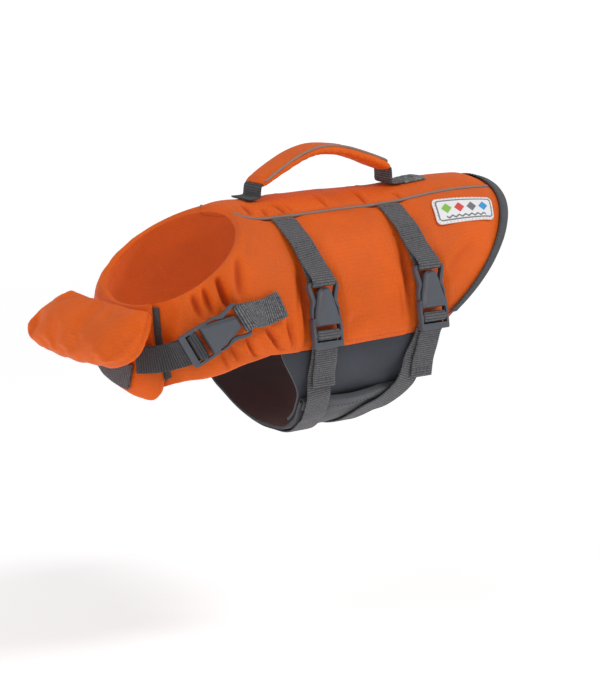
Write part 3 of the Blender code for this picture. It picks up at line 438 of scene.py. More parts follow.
RIGHT_FOLDS = (
    Fold((0.06, 88), (0.40, 90), (0.90, 86), 0.0034, 0.0029, 0.30),
    Fold((0.06, 109), (0.30, 106), (0.70, 101), 0.0026, 0.0021, 0.25),
    Fold((0.10, 72), (0.60, 77), (1.10, 79), 0.0034, 0.0018, 0.25),
    Fold((1.30, 104), (1.52, 104), (1.76, 103), 0.0013, 0.0013, 0.45),
    Fold((1.72, 94), (1.92, 95), (2.12, 97), 0.0020, 0.0014, 0.35),
    Fold((2.10, 83), (2.26, 89), (2.36, 95), 0.0024, 0.0015, 0.40),
    Fold((2.74, 46), (2.72, 66), (2.70, 89), 0.0045, 0.0020, 0.15),
    Fold((4.72, 52), (4.64, 70), (4.62, 88), 0.0042, 0.0018, 0.15),
    Fold((3.50, 74), (3.72, 83), (4.10, 88), 0.0030, 0.0011, 0.30),
    Fold((5.40, 60), (5.70, 58), (6.10, 48), 0.0036, 0.0011, 0.25),
    Fold((0.40, 150), (0.70, 146), (0.95, 148), 0.0022, 0.0013, 0.30),
)
SPINE_FOLDS = (
    Fold((2.30, 13), (2.40, 18), (2.50, 21), 0.0016, 0.0015, 0.4),
    Fold((2.90, 11), (3.05, 17), (3.15, 21), 0.0016, 0.0019, 0.4),
    Fold((3.15, 12), (3.20, 17), (3.30, 21), 0.0014, 0.0013, 0.4),
    Fold((3.80, 9), (3.85, 15), (3.92, 21), 0.0016, 0.0015, 0.4),
    Fold((4.60, 7), (4.60, 15), (4.66, 21), 0.0018, 0.0019, 0.4),
    Fold((5.20, 13), (5.25, 16), (5.30, 21), 0.0015, 0.0015, 0.4),
    Fold((1.20, 9), (1.45, 14), (1.60, 20), 0.0024, 0.0017, 0.3),
    Fold((2.55, -12), (2.62, -17), (2.70, -21), 0.0016, 0.0015, 0.4),
    Fold((3.40, -10), (3.48, -16), (3.50, -21), 0.0018, 0.0019, 0.4),
    Fold((4.25, -11), (4.22, -16), (4.20, -21), 0.0015, 0.0013, 0.4),
    Fold((4.95, -8), (5.02, -15), (5.06, -21), 0.0017, 0.0017, 0.4),
    Fold((5.80, -12), (5.84, -17), (5.90, -21), 0.0015, 0.0013, 0.4),
)


def fold_push(place, folds, side):
    """How far the folds push points of the form outward; side is -1 on the right."""
    push = np.zeros(place.shape[:-1])
    for fold in folds:
        f = np.linspace(0, 1, 13)
        (s0, t0), (s1, t1), (s2, t2) = fold.start, fold.middle, fold.end
        line_s = s0 * (1 - f) ** 2 + s1 * 2 * f * (1 - f) + s2 * f * f
        line_t = t0 * (1 - f) ** 2 + t1 * 2 * f * (1 - f) + t2 * f * f
        line = form(line_s, side * line_t)
        away, share = line_distance(place, line)
        taper = np.sin(math.pi * np.clip(share, 0.03, 0.97)) ** 0.55
        trough = np.exp(-(away / fold.width) ** 2)
        beside = np.exp(-((away - 1.9 * fold.width) / fold.width) ** 2)
        push += fold.depth * taper * (fold.shoulder * beside - trough)
    return push


def ripple(place, pitch, height, seed):
    """Low uneven swelling of cloth over foam, the same on each run."""
    chance = np.random.default_rng(seed)
    total = np.zeros(place.shape[:-1])
    for _ in range(7):
        way = unit(chance.normal(size=3))
        turn = 2 * math.pi / (pitch * chance.uniform(0.7, 1.6))
        total += np.sin(place @ way * turn + chance.uniform(0, 6.28))
    return total / 7 * height


# ---- walls -----------------------------------------------------------------------------------

def used_points(cells):
    used = np.zeros((cells.shape[0] + 1, cells.shape[1] + 1), bool)
    for di in (0, 1):
        for dj in (0, 1):
            used[di:di + cells.shape[0], dj:dj + cells.shape[1]] |= cells
    return used


def rim_edges(cells):
    """Directed edges of the used cells that no other used cell shares."""
    full = np.pad(cells, 1)
    rim = []
    for i, j in zip(*np.nonzero(cells)):
        corners = ((i, j), (i + 1, j), (i + 1, j + 1), (i, j + 1))
        for k, (di, dj) in enumerate(((0, -1), (1, 0), (0, 1), (-1, 0))):
            if not full[i + 1 + di, j + 1 + dj]:
                rim.append((corners[k], corners[(k + 1) % 4]))
    return rim


def new_mesh(name, points, faces, face_uv=None):
    mesh = bpy.data.meshes.new(name)
    mesh.from_pydata([tuple(p) for p in points], [], faces)
    if face_uv is not None:
        layer = mesh.uv_layers.new(name="Cloth")
        layer.data.foreach_set("uv", np.asarray(face_uv, np.float32).ravel())
    work = bmesh.new()
    work.from_mesh(mesh)
    bmesh.ops.recalc_face_normals(work, faces=work.faces)
    work.to_mesh(mesh)
    work.free()
    mesh.shade_smooth()
    piece = bpy.data.objects.new(name, mesh)
    bpy.context.scene.collection.objects.link(piece)
    return piece


def select_only(piece):
    """Makes a piece the one that is selected and active."""
    bpy.ops.object.select_all(action="DESELECT")
    piece.select_set(True)
    bpy.context.view_layer.objects.active = piece


def applied(piece, kind, **settings):
    modifier = piece.modifiers.new(kind.title(), kind)
    for key, value in settings.items():
        setattr(modifier, key, value)
    select_only(piece)
    bpy.ops.object.modifier_apply(modifier=modifier.name)
    return piece


def wall(name, outer, inner, uv, cells=None, round_rim=0.0009, fold=None):
    """Closed cloth wall between two grids of points, with its rim rounded. Fold is how deep in a
    trough each outer point lies, from 0 to 1, for the shade that the cloth's finish paints in its
    creases."""
    columns, rows = outer.shape[0] - 1, outer.shape[1] - 1
    if cells is None:
        cells = np.ones((columns, rows), bool)
    used = used_points(cells)
    index = np.full(used.shape, -1)
    index[used] = np.arange(used.sum())
    count = int(used.sum())
    i, j = np.nonzero(cells)
    quads = np.stack([index[i, j], index[i + 1, j], index[i + 1, j + 1], index[i, j + 1]], axis=1)
    flat = uv[used]
    thick = float(np.median(np.linalg.norm((outer - inner)[used], axis=1)))
    faces = quads.tolist() + (quads[:, ::-1] + count).tolist()
    face_uv = [flat[quads], flat[quads[:, ::-1]]]
    rim = rim_edges(cells)
    a = np.array([index[p] for p, _ in rim])
    b = np.array([index[q] for _, q in rim])
    faces += np.stack([b, a, a + count, b + count], axis=1).tolist()
    drop = thick * 0.7
    face_uv.append(np.stack([flat[b], flat[a], flat[a] + drop, flat[b] + drop], axis=1))
    piece = new_mesh(name, np.concatenate([outer[used], inner[used]]), faces,
                     np.concatenate([part.reshape(-1, 2) for part in face_uv]))
    if fold is not None:
        depth = np.concatenate([fold[used], np.zeros(count)]).astype(np.float32)
        piece.data.attributes.new("Fold", "FLOAT", "POINT").data.foreach_set("value", depth)
    if round_rim:
        marked = {frozenset(pair) for pair in zip(a.tolist(), b.tolist())}
        marked |= {frozenset((p + count, q + count)) for p, q in zip(a.tolist(), b.tolist())}
        ends = np.empty(len(piece.data.edges) * 2, np.int32)
        piece.data.edges.foreach_get("vertices", ends)
        weight = [float(frozenset(pair) in marked) for pair in ends.reshape(-1, 2).tolist()]
        bevelled = "bevel_weight_edge"
        piece.data.attributes.new(bevelled, "FLOAT", "EDGE").data.foreach_set("value", weight)
        applied(piece, "BEVEL", limit_method="WEIGHT", width=round_rim, segments=3,
                use_clamp_overlap=True)
        piece.data.attributes.remove(piece.data.attributes[bevelled])
    return piece


def tube(name, rings):
    """Closed body through rings of points; uv runs along it and round it, in metres."""
    rings = np.asarray(rings)
    steps, count = rings.shape[0] - 1, rings.shape[1]
    index = np.arange(rings.shape[0] * count).reshape(-1, count)
    i = np.arange(steps)[:, None]
    j = np.arange(count)[None, :]
    k = (j + 1) % count
    quads = np.stack([index[i, j], index[i, k], index[i + 1, k], index[i + 1, j]], axis=-1)
    middle = rings.mean(axis=1)
    along = lengths(middle)
    edge = np.linalg.norm(np.diff(rings, axis=1, append=rings[:, :1]), axis=2).mean(axis=0)
    turn = np.concatenate([[0], np.cumsum(edge)])
    i, j = np.broadcast_arrays(i, j)
    u = np.stack([along[i], along[i], along[i + 1], along[i + 1]], axis=-1)
    v = np.stack([turn[j], turn[j + 1], turn[j + 1], turn[j]], axis=-1)
    face_uv = [np.stack([u, v], axis=-1).reshape(-1, 2)]
    faces = quads.reshape(-1, 4).tolist()
    for ring, at in ((index[0][::-1], 0), (index[-1], -1)):
        faces.append(ring.tolist())
        spread = rings[at] - middle[at]
        face_uv.append(spread.reshape(-1, count, 3)[0][:, :2] + along[at])
    return new_mesh(name, rings.reshape(-1, 3), faces, np.concatenate(face_uv))


def web_section(width, thickness, count=20):
    """Places round a webbing's cross-section: flat faces with rounded selvedges."""
    a = 2 * math.pi * (np.arange(count) + 0.5) / count
    across = np.sign(np.cos(a)) * np.abs(np.cos(a)) ** 0.30 * width / 2
    out = np.sign(np.sin(a)) * np.abs(np.sin(a)) ** 0.55 * thickness / 2
    return across, out


ROUTES = {}  # each webbing's middle points and across directions, kept for its stitches


WEB_STEP = 0.0011  # distance between the rings of a webbing


def strap(name, path, finish, width=WEB_WIDTH):
    """Woven strap along a path of (middle, across) pairs."""
    middle, across = resampled([p for p, _ in path], WEB_STEP, [unit(a) for _, a in path])
    across = unit(across)
    ROUTES[name] = middle, across
    ahead = np.gradient(middle, axis=0)
    face = unit(np.cross(across, ahead))
    wide, out = web_section(width, WEB)
    rings = (middle[:, None] + across[:, None] * wide[None, :, None]
             + face[:, None] * out[None, :, None])
    dress(tube(name, rings), finish, "grey_webbing", name)


def dress(piece, material, slot, *nodes):
    """Gives a piece its finish and lets it stand for its solids."""
    piece.data.materials.clear()
    piece.data.materials.append(material)
    if nodes:
        piece.name = piece.data.name = FINISHED + nodes[0]
        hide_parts(*nodes)
    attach(piece, ROOT)
    return piece


# ---- panels ----------------------------------------------------------------------------------

SIDE_COLUMN = 64  # column of a flank whose thread lines run straight down
THINNEST = 0.0012  # least thickness that a fold leaves of a panel
FOLD_DEPTH = 0.0030  # depth from which a fold counts as full for the painted shade in the cloth's creases

# Side is -1 on the right; lap is how far the inner face stands off the form at an angle
Flank = namedtuple("Flank", "side hem end front_rows foam folds seed cover lap")
FLANKS = {
    "left_flank": Flank(1, LEFT_HEM, LEFT_TIP, 56, LEFT_FOAM, LEFT_FOLDS, 3, left_cover,
                        lambda t: 0 * t),
    "right_flank": Flank(-1, RIGHT_HEM, TONGUE_END, 100, RIGHT_FOAM, RIGHT_FOLDS, 5, right_cover,
                         lap_lift),
}


def folded(place, cover, folds, side, edge, swell, clear=1.0, depth=1.0):
    """A panel's height with its folds and its swelling, and how deep in a fold each place lies."""
    push = fold_push(place, folds, side)
    push = np.where(push > 0, push * clear, push) * mix(0.45, 1.0, edge)
    height = cover + push + ripple(place, *swell) * clear * edge
    return np.maximum(height, THINNEST), np.clip(-push * depth / FOLD_DEPTH, 0, 1)


def flank_grid(hem, end, front_rows):
    """Ring places, angles and used cells of a flank's fine grid, and where its hem's corner is."""
    front = spaced(44, 0.6, 0.0) * HEM_RING
    side = np.linspace(HEM_RING, REAR_RING, 81)[1:]
    shares = spaced(60, 0.0, 0.6)[1:]
    down = mix(SEAM + SEAM_GAP, FLANK_LOW - SEAM_GAP, spaced(72, 0.6, 0.5))
    rear = REAR_RING + (curve(REAR_EDGE, down)[None] - REAR_RING) * shares[:, None]
    level = np.concatenate([front, side])[:, None] + 0 * down[None]
    s_side = np.concatenate([level, rear])
    share = (front / HEM_RING)[:, None]
    fall = spaced(front_rows, 0.1, 0.5)[None, 1:]
    t_front = mix(FLANK_LOW - SEAM_GAP, curve(end, share * 1.05), fall)
    s_front = share * curve(hem, t_front)
    columns = len(front) + len(side) + len(shares) - 1
    s = np.concatenate([s_side, np.repeat(s_side[:, -1:], front_rows, axis=1)], axis=1)
    t = np.concatenate([np.broadcast_to(down, s_side.shape),
                        np.full((columns + 1, front_rows), FLANK_LOW)], axis=1)
    s[:len(front), len(down):] = s_front
    t[:len(front), len(down):] = t_front
    cells = np.zeros((columns, len(down) - 1 + front_rows), bool)
    cells[:, :len(down) - 1] = True
    cells[:len(front) - 1] = True
    return s, t, cells, (len(front) - 1, len(down) - 1)


def flank_uv(place, corner):
    """Cloth coordinates in metres: u along the rows, v down each column from the seam."""
    column, row = corner
    u, v = lengths(place), lengths(place, 1)
    start = np.where(np.arange(place.shape[1]) <= row, u[SIDE_COLUMN],
                     u[column] + u[SIDE_COLUMN, row] - u[column, row])
    return np.stack([u - start[None], v], axis=-1)


def make_flanks(cloth):
    for name, flank in FLANKS.items():
        s, t, cells, corner = flank_grid(flank.hem, flank.end, flank.front_rows)
        lap = flank.lap(t)
        inner = lifted(s, flank.side * t, lap)
        place = form(s, flank.side * t)
        edge = smooth(flank.foam.edge_way(place) / 0.006)
        height, fold = folded(place, flank.cover(s, t), flank.folds, flank.side, edge,
                              (0.034, 0.0008, flank.seed), strap_clear(place))
        piece = wall(name, lifted(s, flank.side * t, lap + height), inner, flank_uv(inner, corner),
                     cells, fold=fold)
        dress(piece, cloth, "orange_cloth", name)


def make_spine_panel(cloth):
    across = mix(-SEAM + SEAM_GAP, SEAM - SEAM_GAP, spaced(44, 0.6, 0.6))
    share = spaced(190, 0.6, 0.6)[:, None]
    t = np.broadcast_to(across, (share.shape[0], across.size))
    front = form(0.0, across)[..., 1]
    rear = form(curve(REAR_EDGE, np.abs(across)), across)[..., 1]
    s = ring_where(lambda at: form(at, t)[..., 1], mix(front, rear, share), 0.0)
    middle = form(s, t)
    edge = smooth((SEAM - SEAM_GAP - np.abs(t)) / 3.5)
    # the spine's fold shares count 1.6 times over, which deepens the painted shade in its creases
    height, fold = folded(middle, spine_cover(s, t), SPINE_FOLDS, 1, edge, (0.030, 0.0005, 8),
                          depth=1.6)
    panel = wall("spine_panel", lifted(s, t, height), middle, grid_uv(middle), fold=fold)
    dress(panel, cloth, "orange_cloth", "spine_panel")


def grid_uv(place):
    """Cloth coordinates in metres along and across a grid of points."""
    return np.stack([lengths(place), lengths(place, 1)], axis=-1)


def slate_panel(name, outer, face, inner, cloth):
    """A sheet between two faces, cut as the inner grid lies without its creases."""
    panel = wall(name, outer, face, grid_uv(inner), round_rim=0.0006)
    dress(panel, cloth, "slate_cloth", name)


def make_slate_panels(cloth, shaded_belly_cloth):
    u = np.linspace(0, 1, 91)[:, None]
    skirt_u, t = np.broadcast_arrays(u, np.linspace(FLANK_LOW + SEAM_GAP, SKIRT_LOW, 57)[None])
    s = skirt_ring(skirt_u, t)
    inner = form(s, t)
    down = np.clip((t - FLANK_LOW) / (SKIRT_LOW - FLANK_LOW), 0, 1)
    crease = ripple(inner, 0.026, 0.00045, 11) * np.sin(math.pi * down)
    slate_panel("left_skirt", lifted(s, t, SKIRT + crease), lifted(s, t, crease), inner, cloth)
    bound = BELLY_TOP + BELLY_BOUND
    t = np.concatenate([np.linspace(BELLY_TOP, bound, 7),
                        np.linspace(bound, 360 - FLANK_LOW - SEAM_GAP, 121)[1:]])
    inner = belly_point(u, t[None], 0.0)
    # the belly panel takes a darker copy of the slate cloth, painted shade for the underside
    slate_panel("belly_panel", belly_point(u, t[None], BELLY), inner, inner, shaded_belly_cloth)


# ---- bindings and piping ---------------------------------------------------------------------

def binding(name, rows, slack, leg_steps=4, nose_steps=7):
    """Folded tape round an edge. A row holds the panel's outer and inner points at the edge and one
    leg back from it; slack is the room in the fold."""
    out_edge, in_edge, out_back, in_back = (np.stack(side) for side in zip(*rows))
    thick = unit(out_edge - in_edge)
    away = unit((out_edge - out_back) + (in_edge - in_back))
    gap, tape = GAP * 1.2, GAP * 1.2 + BINDING_TAPE
    fold = away * slack
    half = np.linalg.norm(out_edge - in_edge, axis=-1, keepdims=True) / 2
    nose = (out_edge + in_edge) / 2 + fold
    f = np.linspace(0, 1, leg_steps + 1)[:, None, None]
    legs_out = mix(out_back + thick * tape, out_edge + thick * tape + fold, f)
    legs_in = mix(in_edge - thick * tape + fold, in_back - thick * tape, f)
    turn = np.linspace(0, math.pi, nose_steps + 2)[1:-1, None, None]
    round_nose = (nose + thick * (half + tape) * np.cos(turn)
                  + away * BINDING_TAPE * 1.6 * np.sin(turn))
    lining_in = mix(in_back - thick * gap, in_edge - thick * gap + fold, f)
    lining_out = mix(out_edge + thick * gap + fold, out_back + thick * gap, f)
    ring = np.concatenate([legs_out, round_nose, legs_in, lining_in, lining_out])
    return tube(name, np.transpose(ring, (1, 0, 2)))


def rear_edge_rows(angles):
    end = curve(REAR_EDGE, np.abs(angles))
    edge = form(end, angles)
    back = end.copy()
    for _ in range(400):
        short = np.linalg.norm(form(back, angles) - edge, axis=-1) < BINDING_LEG
        back = np.where(short, back - 0.0025, back)
    thick = np.zeros(len(angles))
    for share in (0.3, 0.5, 0.7, 1.0):
        s = mix(end, back, share)
        cover = np.where(np.abs(angles) < SEAM, spine_cover(s, angles),
                         np.where(angles > 0, left_cover(s, np.abs(angles)),
                                  right_cover(s, np.abs(angles))))
        thick = np.maximum(thick, BOUND_EDGE + (cover - BOUND_EDGE) / share)
    under = -GAP / 2 + 0 * end
    return list(zip(lifted(end, angles, BOUND_EDGE + GAP + 0 * end), lifted(end, angles, under),
                    lifted(back, angles, thick + 2 * GAP), lifted(back, angles, under)))


def make_bindings(tape):
    low = FLANK_LOW - REAR_BINDING_SHORT
    rear = binding("rear_binding", rear_edge_rows(np.linspace(-low, low, 217)), GAP * 2)
    dress(rear, tape, "grey_binding", "rear_binding")
    back = BELLY_TOP + BELLY_BOUND
    u = np.linspace(0.02, 0.98, 97)
    rows = list(zip(belly_point(u, BELLY_TOP, BELLY), belly_point(u, BELLY_TOP, 0.0),
                    belly_point(u, back, BELLY), belly_point(u, back, 0.0)))
    dress(binding("belly_binding", rows, GAP * 1.2), tape, "grey_binding", "belly_binding")


def cord_rings(middle, radius, sides=14):
    """Rings round a line of points; the cord's cut ends are rounded off."""
    ahead = unit(np.gradient(middle, axis=0))
    side = unit(np.cross(ahead, [0.0, 0.0, 1.0]))
    up = np.cross(side, ahead)
    a = np.arange(sides) * 2 * math.pi / sides
    length = lengths(middle)
    to_end = np.minimum(length, length[-1] - length)
    girth = (radius * mix(0.35, 1.0, dome(to_end / (2 * radius))))[:, None, None]
    return middle[:, None] + girth * (side[:, None] * np.cos(a)[None, :, None]
                                      + up[:, None] * np.sin(a)[None, :, None])


def make_piping(piping):
    height = TURNED_EDGE + GAP + PIPING_RADIUS + 0.0001
    for name, side in (("piping_left", 1), ("piping_right", -1)):
        share = spaced(190, 0.9, 0.9)
        y = mix(form(0.02, SEAM)[1], form(6.72, SEAM)[1], share)
        s = seam_ring(y)
        middle = lifted(s, side * SEAM + 0 * s, height + 0 * s)
        dress(tube(name, cord_rings(middle, PIPING_RADIUS)), piping, "reflective_piping", name)


# ---- webbing routes --------------------------------------------------------------------------

SINGLE = GAP * 1.3 + WEB / 2
DOUBLE = SINGLE + WEB + GAP * 2
SEAM_CLEAR = 2.6
BEHIND_LADDER = 0.0048
BINDING_HUMP = 0.0015
TURNED_IN = 0.0013  # how far the end under a doubled strap sits in from its selvedge


def bridge(start, stop, steps):
    return [(mix(start[0], stop[0], k / steps), mix(unit(start[1]), unit(stop[1]), k / steps))
            for k in range(1, steps)]


def rounded(corners, setback, steps=6):
    """A route of (middle, across) pairs with each inner corner cut to a small curve."""
    path = [corners[0]]
    for (before, _), (corner, across), (after, _) in zip(corners, corners[1:], corners[2:]):
        ways = (before - corner, after - corner)
        entry, leave = (corner + unit(way) * min(setback, np.linalg.norm(way) * 0.45)
                        for way in ways)
        for n in range(steps + 1):
            f = n / steps
            path.append((entry * (1 - f) ** 2 + corner * 2 * f * (1 - f) + leave * f * f, across))
    return path + [corners[-1]]


class Seat:
    """A buckle's own frame: across the strap, along it towards the ladder, and out."""

    def __init__(self, s, t, along, lift):
        self.out = outward(s, t)
        self.along = unit(along - self.out * (along @ self.out))
        self.across = np.cross(self.along, self.out)
        self.origin = lifted(s, t, lift)

    def at(self, along, out, across=0.0):
        return self.origin + self.across * across + self.along * along + self.out * out


def surface_path(path, start, stop, count, lift):
    """Webbing's middle line and its across direction on the form, between two angles."""
    t = np.linspace(start, stop, count + 1)
    side = np.where(t <= 180, 1.0, -1.0)
    angle = np.where(t <= 180, t, 360 - t)
    s = ring_at(curve(path, angle), angle)
    here = lifted(s, side * angle, lift(t))
    ahead = (form(ring_at(curve(path, angle + 1), angle + 1), side * (angle + 1))
             - form(ring_at(curve(path, angle - 1), angle - 1), side * (angle - 1))) * side[:, None]
    return list(zip(here, np.cross(ahead, outward(s, side * angle))))


def upper_lift(path, layer):
    return lambda t: left_cover(ring_at(curve(path, t), t), t) + layer


def doubled_lift(path):
    """The outer layer rises gently over the end that is turned back under it."""
    return lambda t: (left_cover(ring_at(curve(path, t), t), t)
                      + mix(SINGLE, DOUBLE, smooth((t - 31) / 13)))


def right_lift(path):
    return lambda t: right_cover(ring_at(curve(path, 360 - t), 360 - t), 360 - t) + SINGLE


def load_lift(t):
    """Middle of the long webbing over the form, from the left under the belly to the right."""
    over_skirt = SKIRT + SINGLE + 0.0010
    over_belly = belly_lift(t) + BELLY + SINGLE + 0.0003
    down = mix(BEHIND_LADDER, over_skirt, smooth((t - FLANK_LOW) / 12))
    over_binding = BINDING_HUMP * smooth((t - 112) / 12) * (1 - smooth((t - 136) / 8))
    left = mix(down, over_belly, smooth((t - 110) / 14)) + over_binding
    right = mix(BELLY + SINGLE + 0.0003, FOAM - STRAP_PRESS + SINGLE,
                smooth((112 - (360 - t)) / 18))
    return np.where(t <= 180, left, right)


def girth_seat(path):
    y = curve(path, BUCKLE_AT)
    below, above = BUCKLE_AT + 4, BUCKLE_AT - 4
    down = form(ring_at(y, below), below) - form(ring_at(y, above), above)
    return Seat(ring_at(y, BUCKLE_AT), BUCKLE_AT, down,
                FOAM - STRAP_PRESS - BUCKLE_PRESS + BUCKLE_SEAT)


def bar_fold(seat):
    corners = ((-0.0226, 0.0047), (-0.0182, 0.0053), (-0.0182, -0.0004), (-0.0226, -0.0008))
    return [(seat.at(*corner), seat.across) for corner in corners]


def ladder_turn(seat):
    corners = ((0.0112, 0.0002), (0.0092, 0.0005), (0.0092, 0.0052), (0.0141, 0.0052),
               (0.0141, 0.0008), (0.0196, 0.0002))
    return [(seat.at(*corner), seat.across) for corner in corners]


def girth_routes(path, tail_shift, tail_end):
    """Routes of a girth strap's upper webbing and of its long one."""
    seat = girth_seat(path)
    outer = surface_path(path, SEAM + SEAM_CLEAR, 52, 22, doubled_lift(path))
    under = [(place - unit(across) * TURNED_IN, across)
             for place, across in surface_path(path, 52, 45, 4, upper_lift(path, SINGLE))]
    upper = outer[:-1] + rounded([outer[-1]] + bar_fold(seat) + [under[0]], 0.0018) + under[1:]
    right = surface_path(path, 360 - SEAM - SEAM_CLEAR, 300, 20, right_lift(path))
    belly = surface_path(path, 293, 96.5, 80, load_lift)
    near = (seat.at(0.0158, -0.0016), seat.across)
    tail = []
    for k in range(1, 5):
        t = mix(98, tail_end, (k - 1) / 3)
        y = curve(path, 91) + tail_shift * k / 4
        lift = float(load_lift(np.float64(t))) + WEB + 3.5 * GAP
        tail.append((lifted(ring_at(y, t), t, lift), seat.across))
    ladder = rounded([near] + ladder_turn(seat) + [tail[0]], 0.0016)
    return upper, right + belly + ladder + tail[1:]


def breast_cover(t):
    return mix(FOAM, LAP + TAPE + 4 * GAP + TONGUE + 0.0002, smooth((t - 124) / 17))


def neck_path(start, stop, count, lift):
    t = np.linspace(start, stop, count + 1)
    s = curve(NECK_STRAP, t)
    ahead = form(curve(NECK_STRAP, t + 2), t + 2) - form(curve(NECK_STRAP, t - 2), t - 2)
    return list(zip(lifted(s, t, lift(t) + 0 * t), np.cross(ahead, outward(s, t))))


NECK_BUCKLE_AT = 103.0
NECK_SEAT = 0.0016


def neck_seat():
    ahead = form(0.80, 120) - form(1.37, 86)
    return Seat(curve(NECK_STRAP, NECK_BUCKLE_AT), NECK_BUCKLE_AT, ahead, FOAM + NECK_SEAT)


def neck_routes():
    seat = neck_seat()
    over = neck_path(73.2, 79, 5, lambda t: FOAM + DOUBLE)
    under = neck_path(79, 73.2, 5, lambda t: FOAM + SINGLE)
    patch = over[:-1] + rounded([over[-1]] + bar_fold(seat) + [under[0]], 0.0017) + under[1:]

    def rise(t):
        return breast_cover(t) + (WEB + GAP) * smooth((t - 142) / 10)

    load = neck_path(154, 126, 18, lambda t: rise(t) + SINGLE)
    tail = neck_path(130, 153, 18, lambda t: rise(t) + DOUBLE)
    near = (seat.at(0.0158, -0.0018), seat.across)
    ladder = rounded([near] + ladder_turn(seat) + [tail[0]], 0.0016)
    long = (load + bridge(load[-1], ladder[0], 4) + ladder[:-1]
            + bridge(ladder[-2], tail[0], 4) + tail)
    return patch, long


TAB_CORNER = (0.80, 161.5)
TAB_END = (0.58, 196.0)


def lapped_cover(t):
    return lap_lift(360 - t) + mix(FOAM, TONGUE, smooth((360 - t - 130) / 40))


def tab_route():
    f = np.linspace(0, 1, 15)
    s, t = mix(TAB_CORNER[0], TAB_END[0], f), mix(TAB_CORNER[1], TAB_END[1], f)
    ahead = form(TAB_END[0], TAB_END[1]) - form(*TAB_CORNER)
    return list(zip(lifted(s, t, lapped_cover(t) + SINGLE + 0.0001),
                    np.cross(ahead, outward(s, t))))


def make_girth_straps(web):
    for tag, path, shift, end in (("front", FRONT_STRAP, 0.003, 117),
                                  ("rear", REAR_STRAP, -0.003, 121)):
        upper, long = girth_routes(path, shift, end)
        strap("girth_upper_" + tag, upper, web)
        strap("girth_web_" + tag, long, web)


def make_neck_strap(web, close_web, specked_web, tape):
    patch, long = neck_routes()
    strap("neck_patch_web", patch, specked_web)
    strap("neck_web", long, close_web)
    strap("neck_anchor_tab", tab_route(), web)
    share = np.linspace(0, 1, 50)[:, None]
    s = mix(0.05, 0.98, share)
    end = 360 - curve(TONGUE_END, s * 1.05)
    s, t = np.broadcast_arrays(s, mix(end - 4.2, end + 7, np.linspace(0, 1, 13)[None]))
    inner = lifted(s, t, left_cover(s, t) + GAP)
    outer = lifted(s, t, left_cover(s, t) + GAP + TAPE)
    dress(wall("breast_tape", outer, inner, grid_uv(inner), round_rim=0.0004), tape, "grey_webbing",
          "breast_tape")


# ---- handle ----------------------------------------------------------------------------------

GripRow = namedtuple("GripRow", "y z half_width half_height")
GRIP = (
    GripRow(-0.0450, 0.0180, 0.0098, 0.0020),
    GripRow(-0.0410, 0.0203, 0.0104, 0.0030),
    GripRow(-0.0306, 0.0258, 0.0106, 0.0034),
    GripRow(-0.0180, 0.0316, 0.0106, 0.0035),
    GripRow(-0.0049, 0.0352, 0.0106, 0.0035),
    GripRow(0.0060, 0.0356, 0.0106, 0.0035),
    GripRow(0.0177, 0.0337, 0.0106, 0.0035),
    GripRow(0.0284, 0.0304, 0.0106, 0.0035),
    GripRow(0.0380, 0.0269, 0.0106, 0.0035),
    GripRow(0.0450, 0.0241, 0.0106, 0.0035),
    GripRow(0.0500, 0.0220, 0.0106, 0.0034),
    GripRow(0.0526, 0.0208, 0.0102, 0.0024),
)
GRIP_SQUARE = 0.8
GRIP_WEB_WIDTH = 0.0185
ACROSS = np.array([1.0, 0.0, 0.0])


def grip_value(field, f):
    return curve([Row(k, getattr(row, field)) for k, row in enumerate(GRIP)],
                 np.asarray(f) * (len(GRIP) - 1))


def grip_frame(f):
    """Middle of the grip, its forward and upward directions and its size, from front to rear."""
    f = np.asarray(f, float)
    middle = np.stack([0 * f, grip_value("y", f), grip_value("z", f)], axis=-1)
    ahead = unit(np.stack([0 * f, grip_value("y", f + 0.004) - grip_value("y", f - 0.004),
                           grip_value("z", f + 0.004) - grip_value("z", f - 0.004)], axis=-1))
    return (middle, ahead, np.cross(ACROSS, ahead), grip_value("half_width", f),
            grip_value("half_height", f))


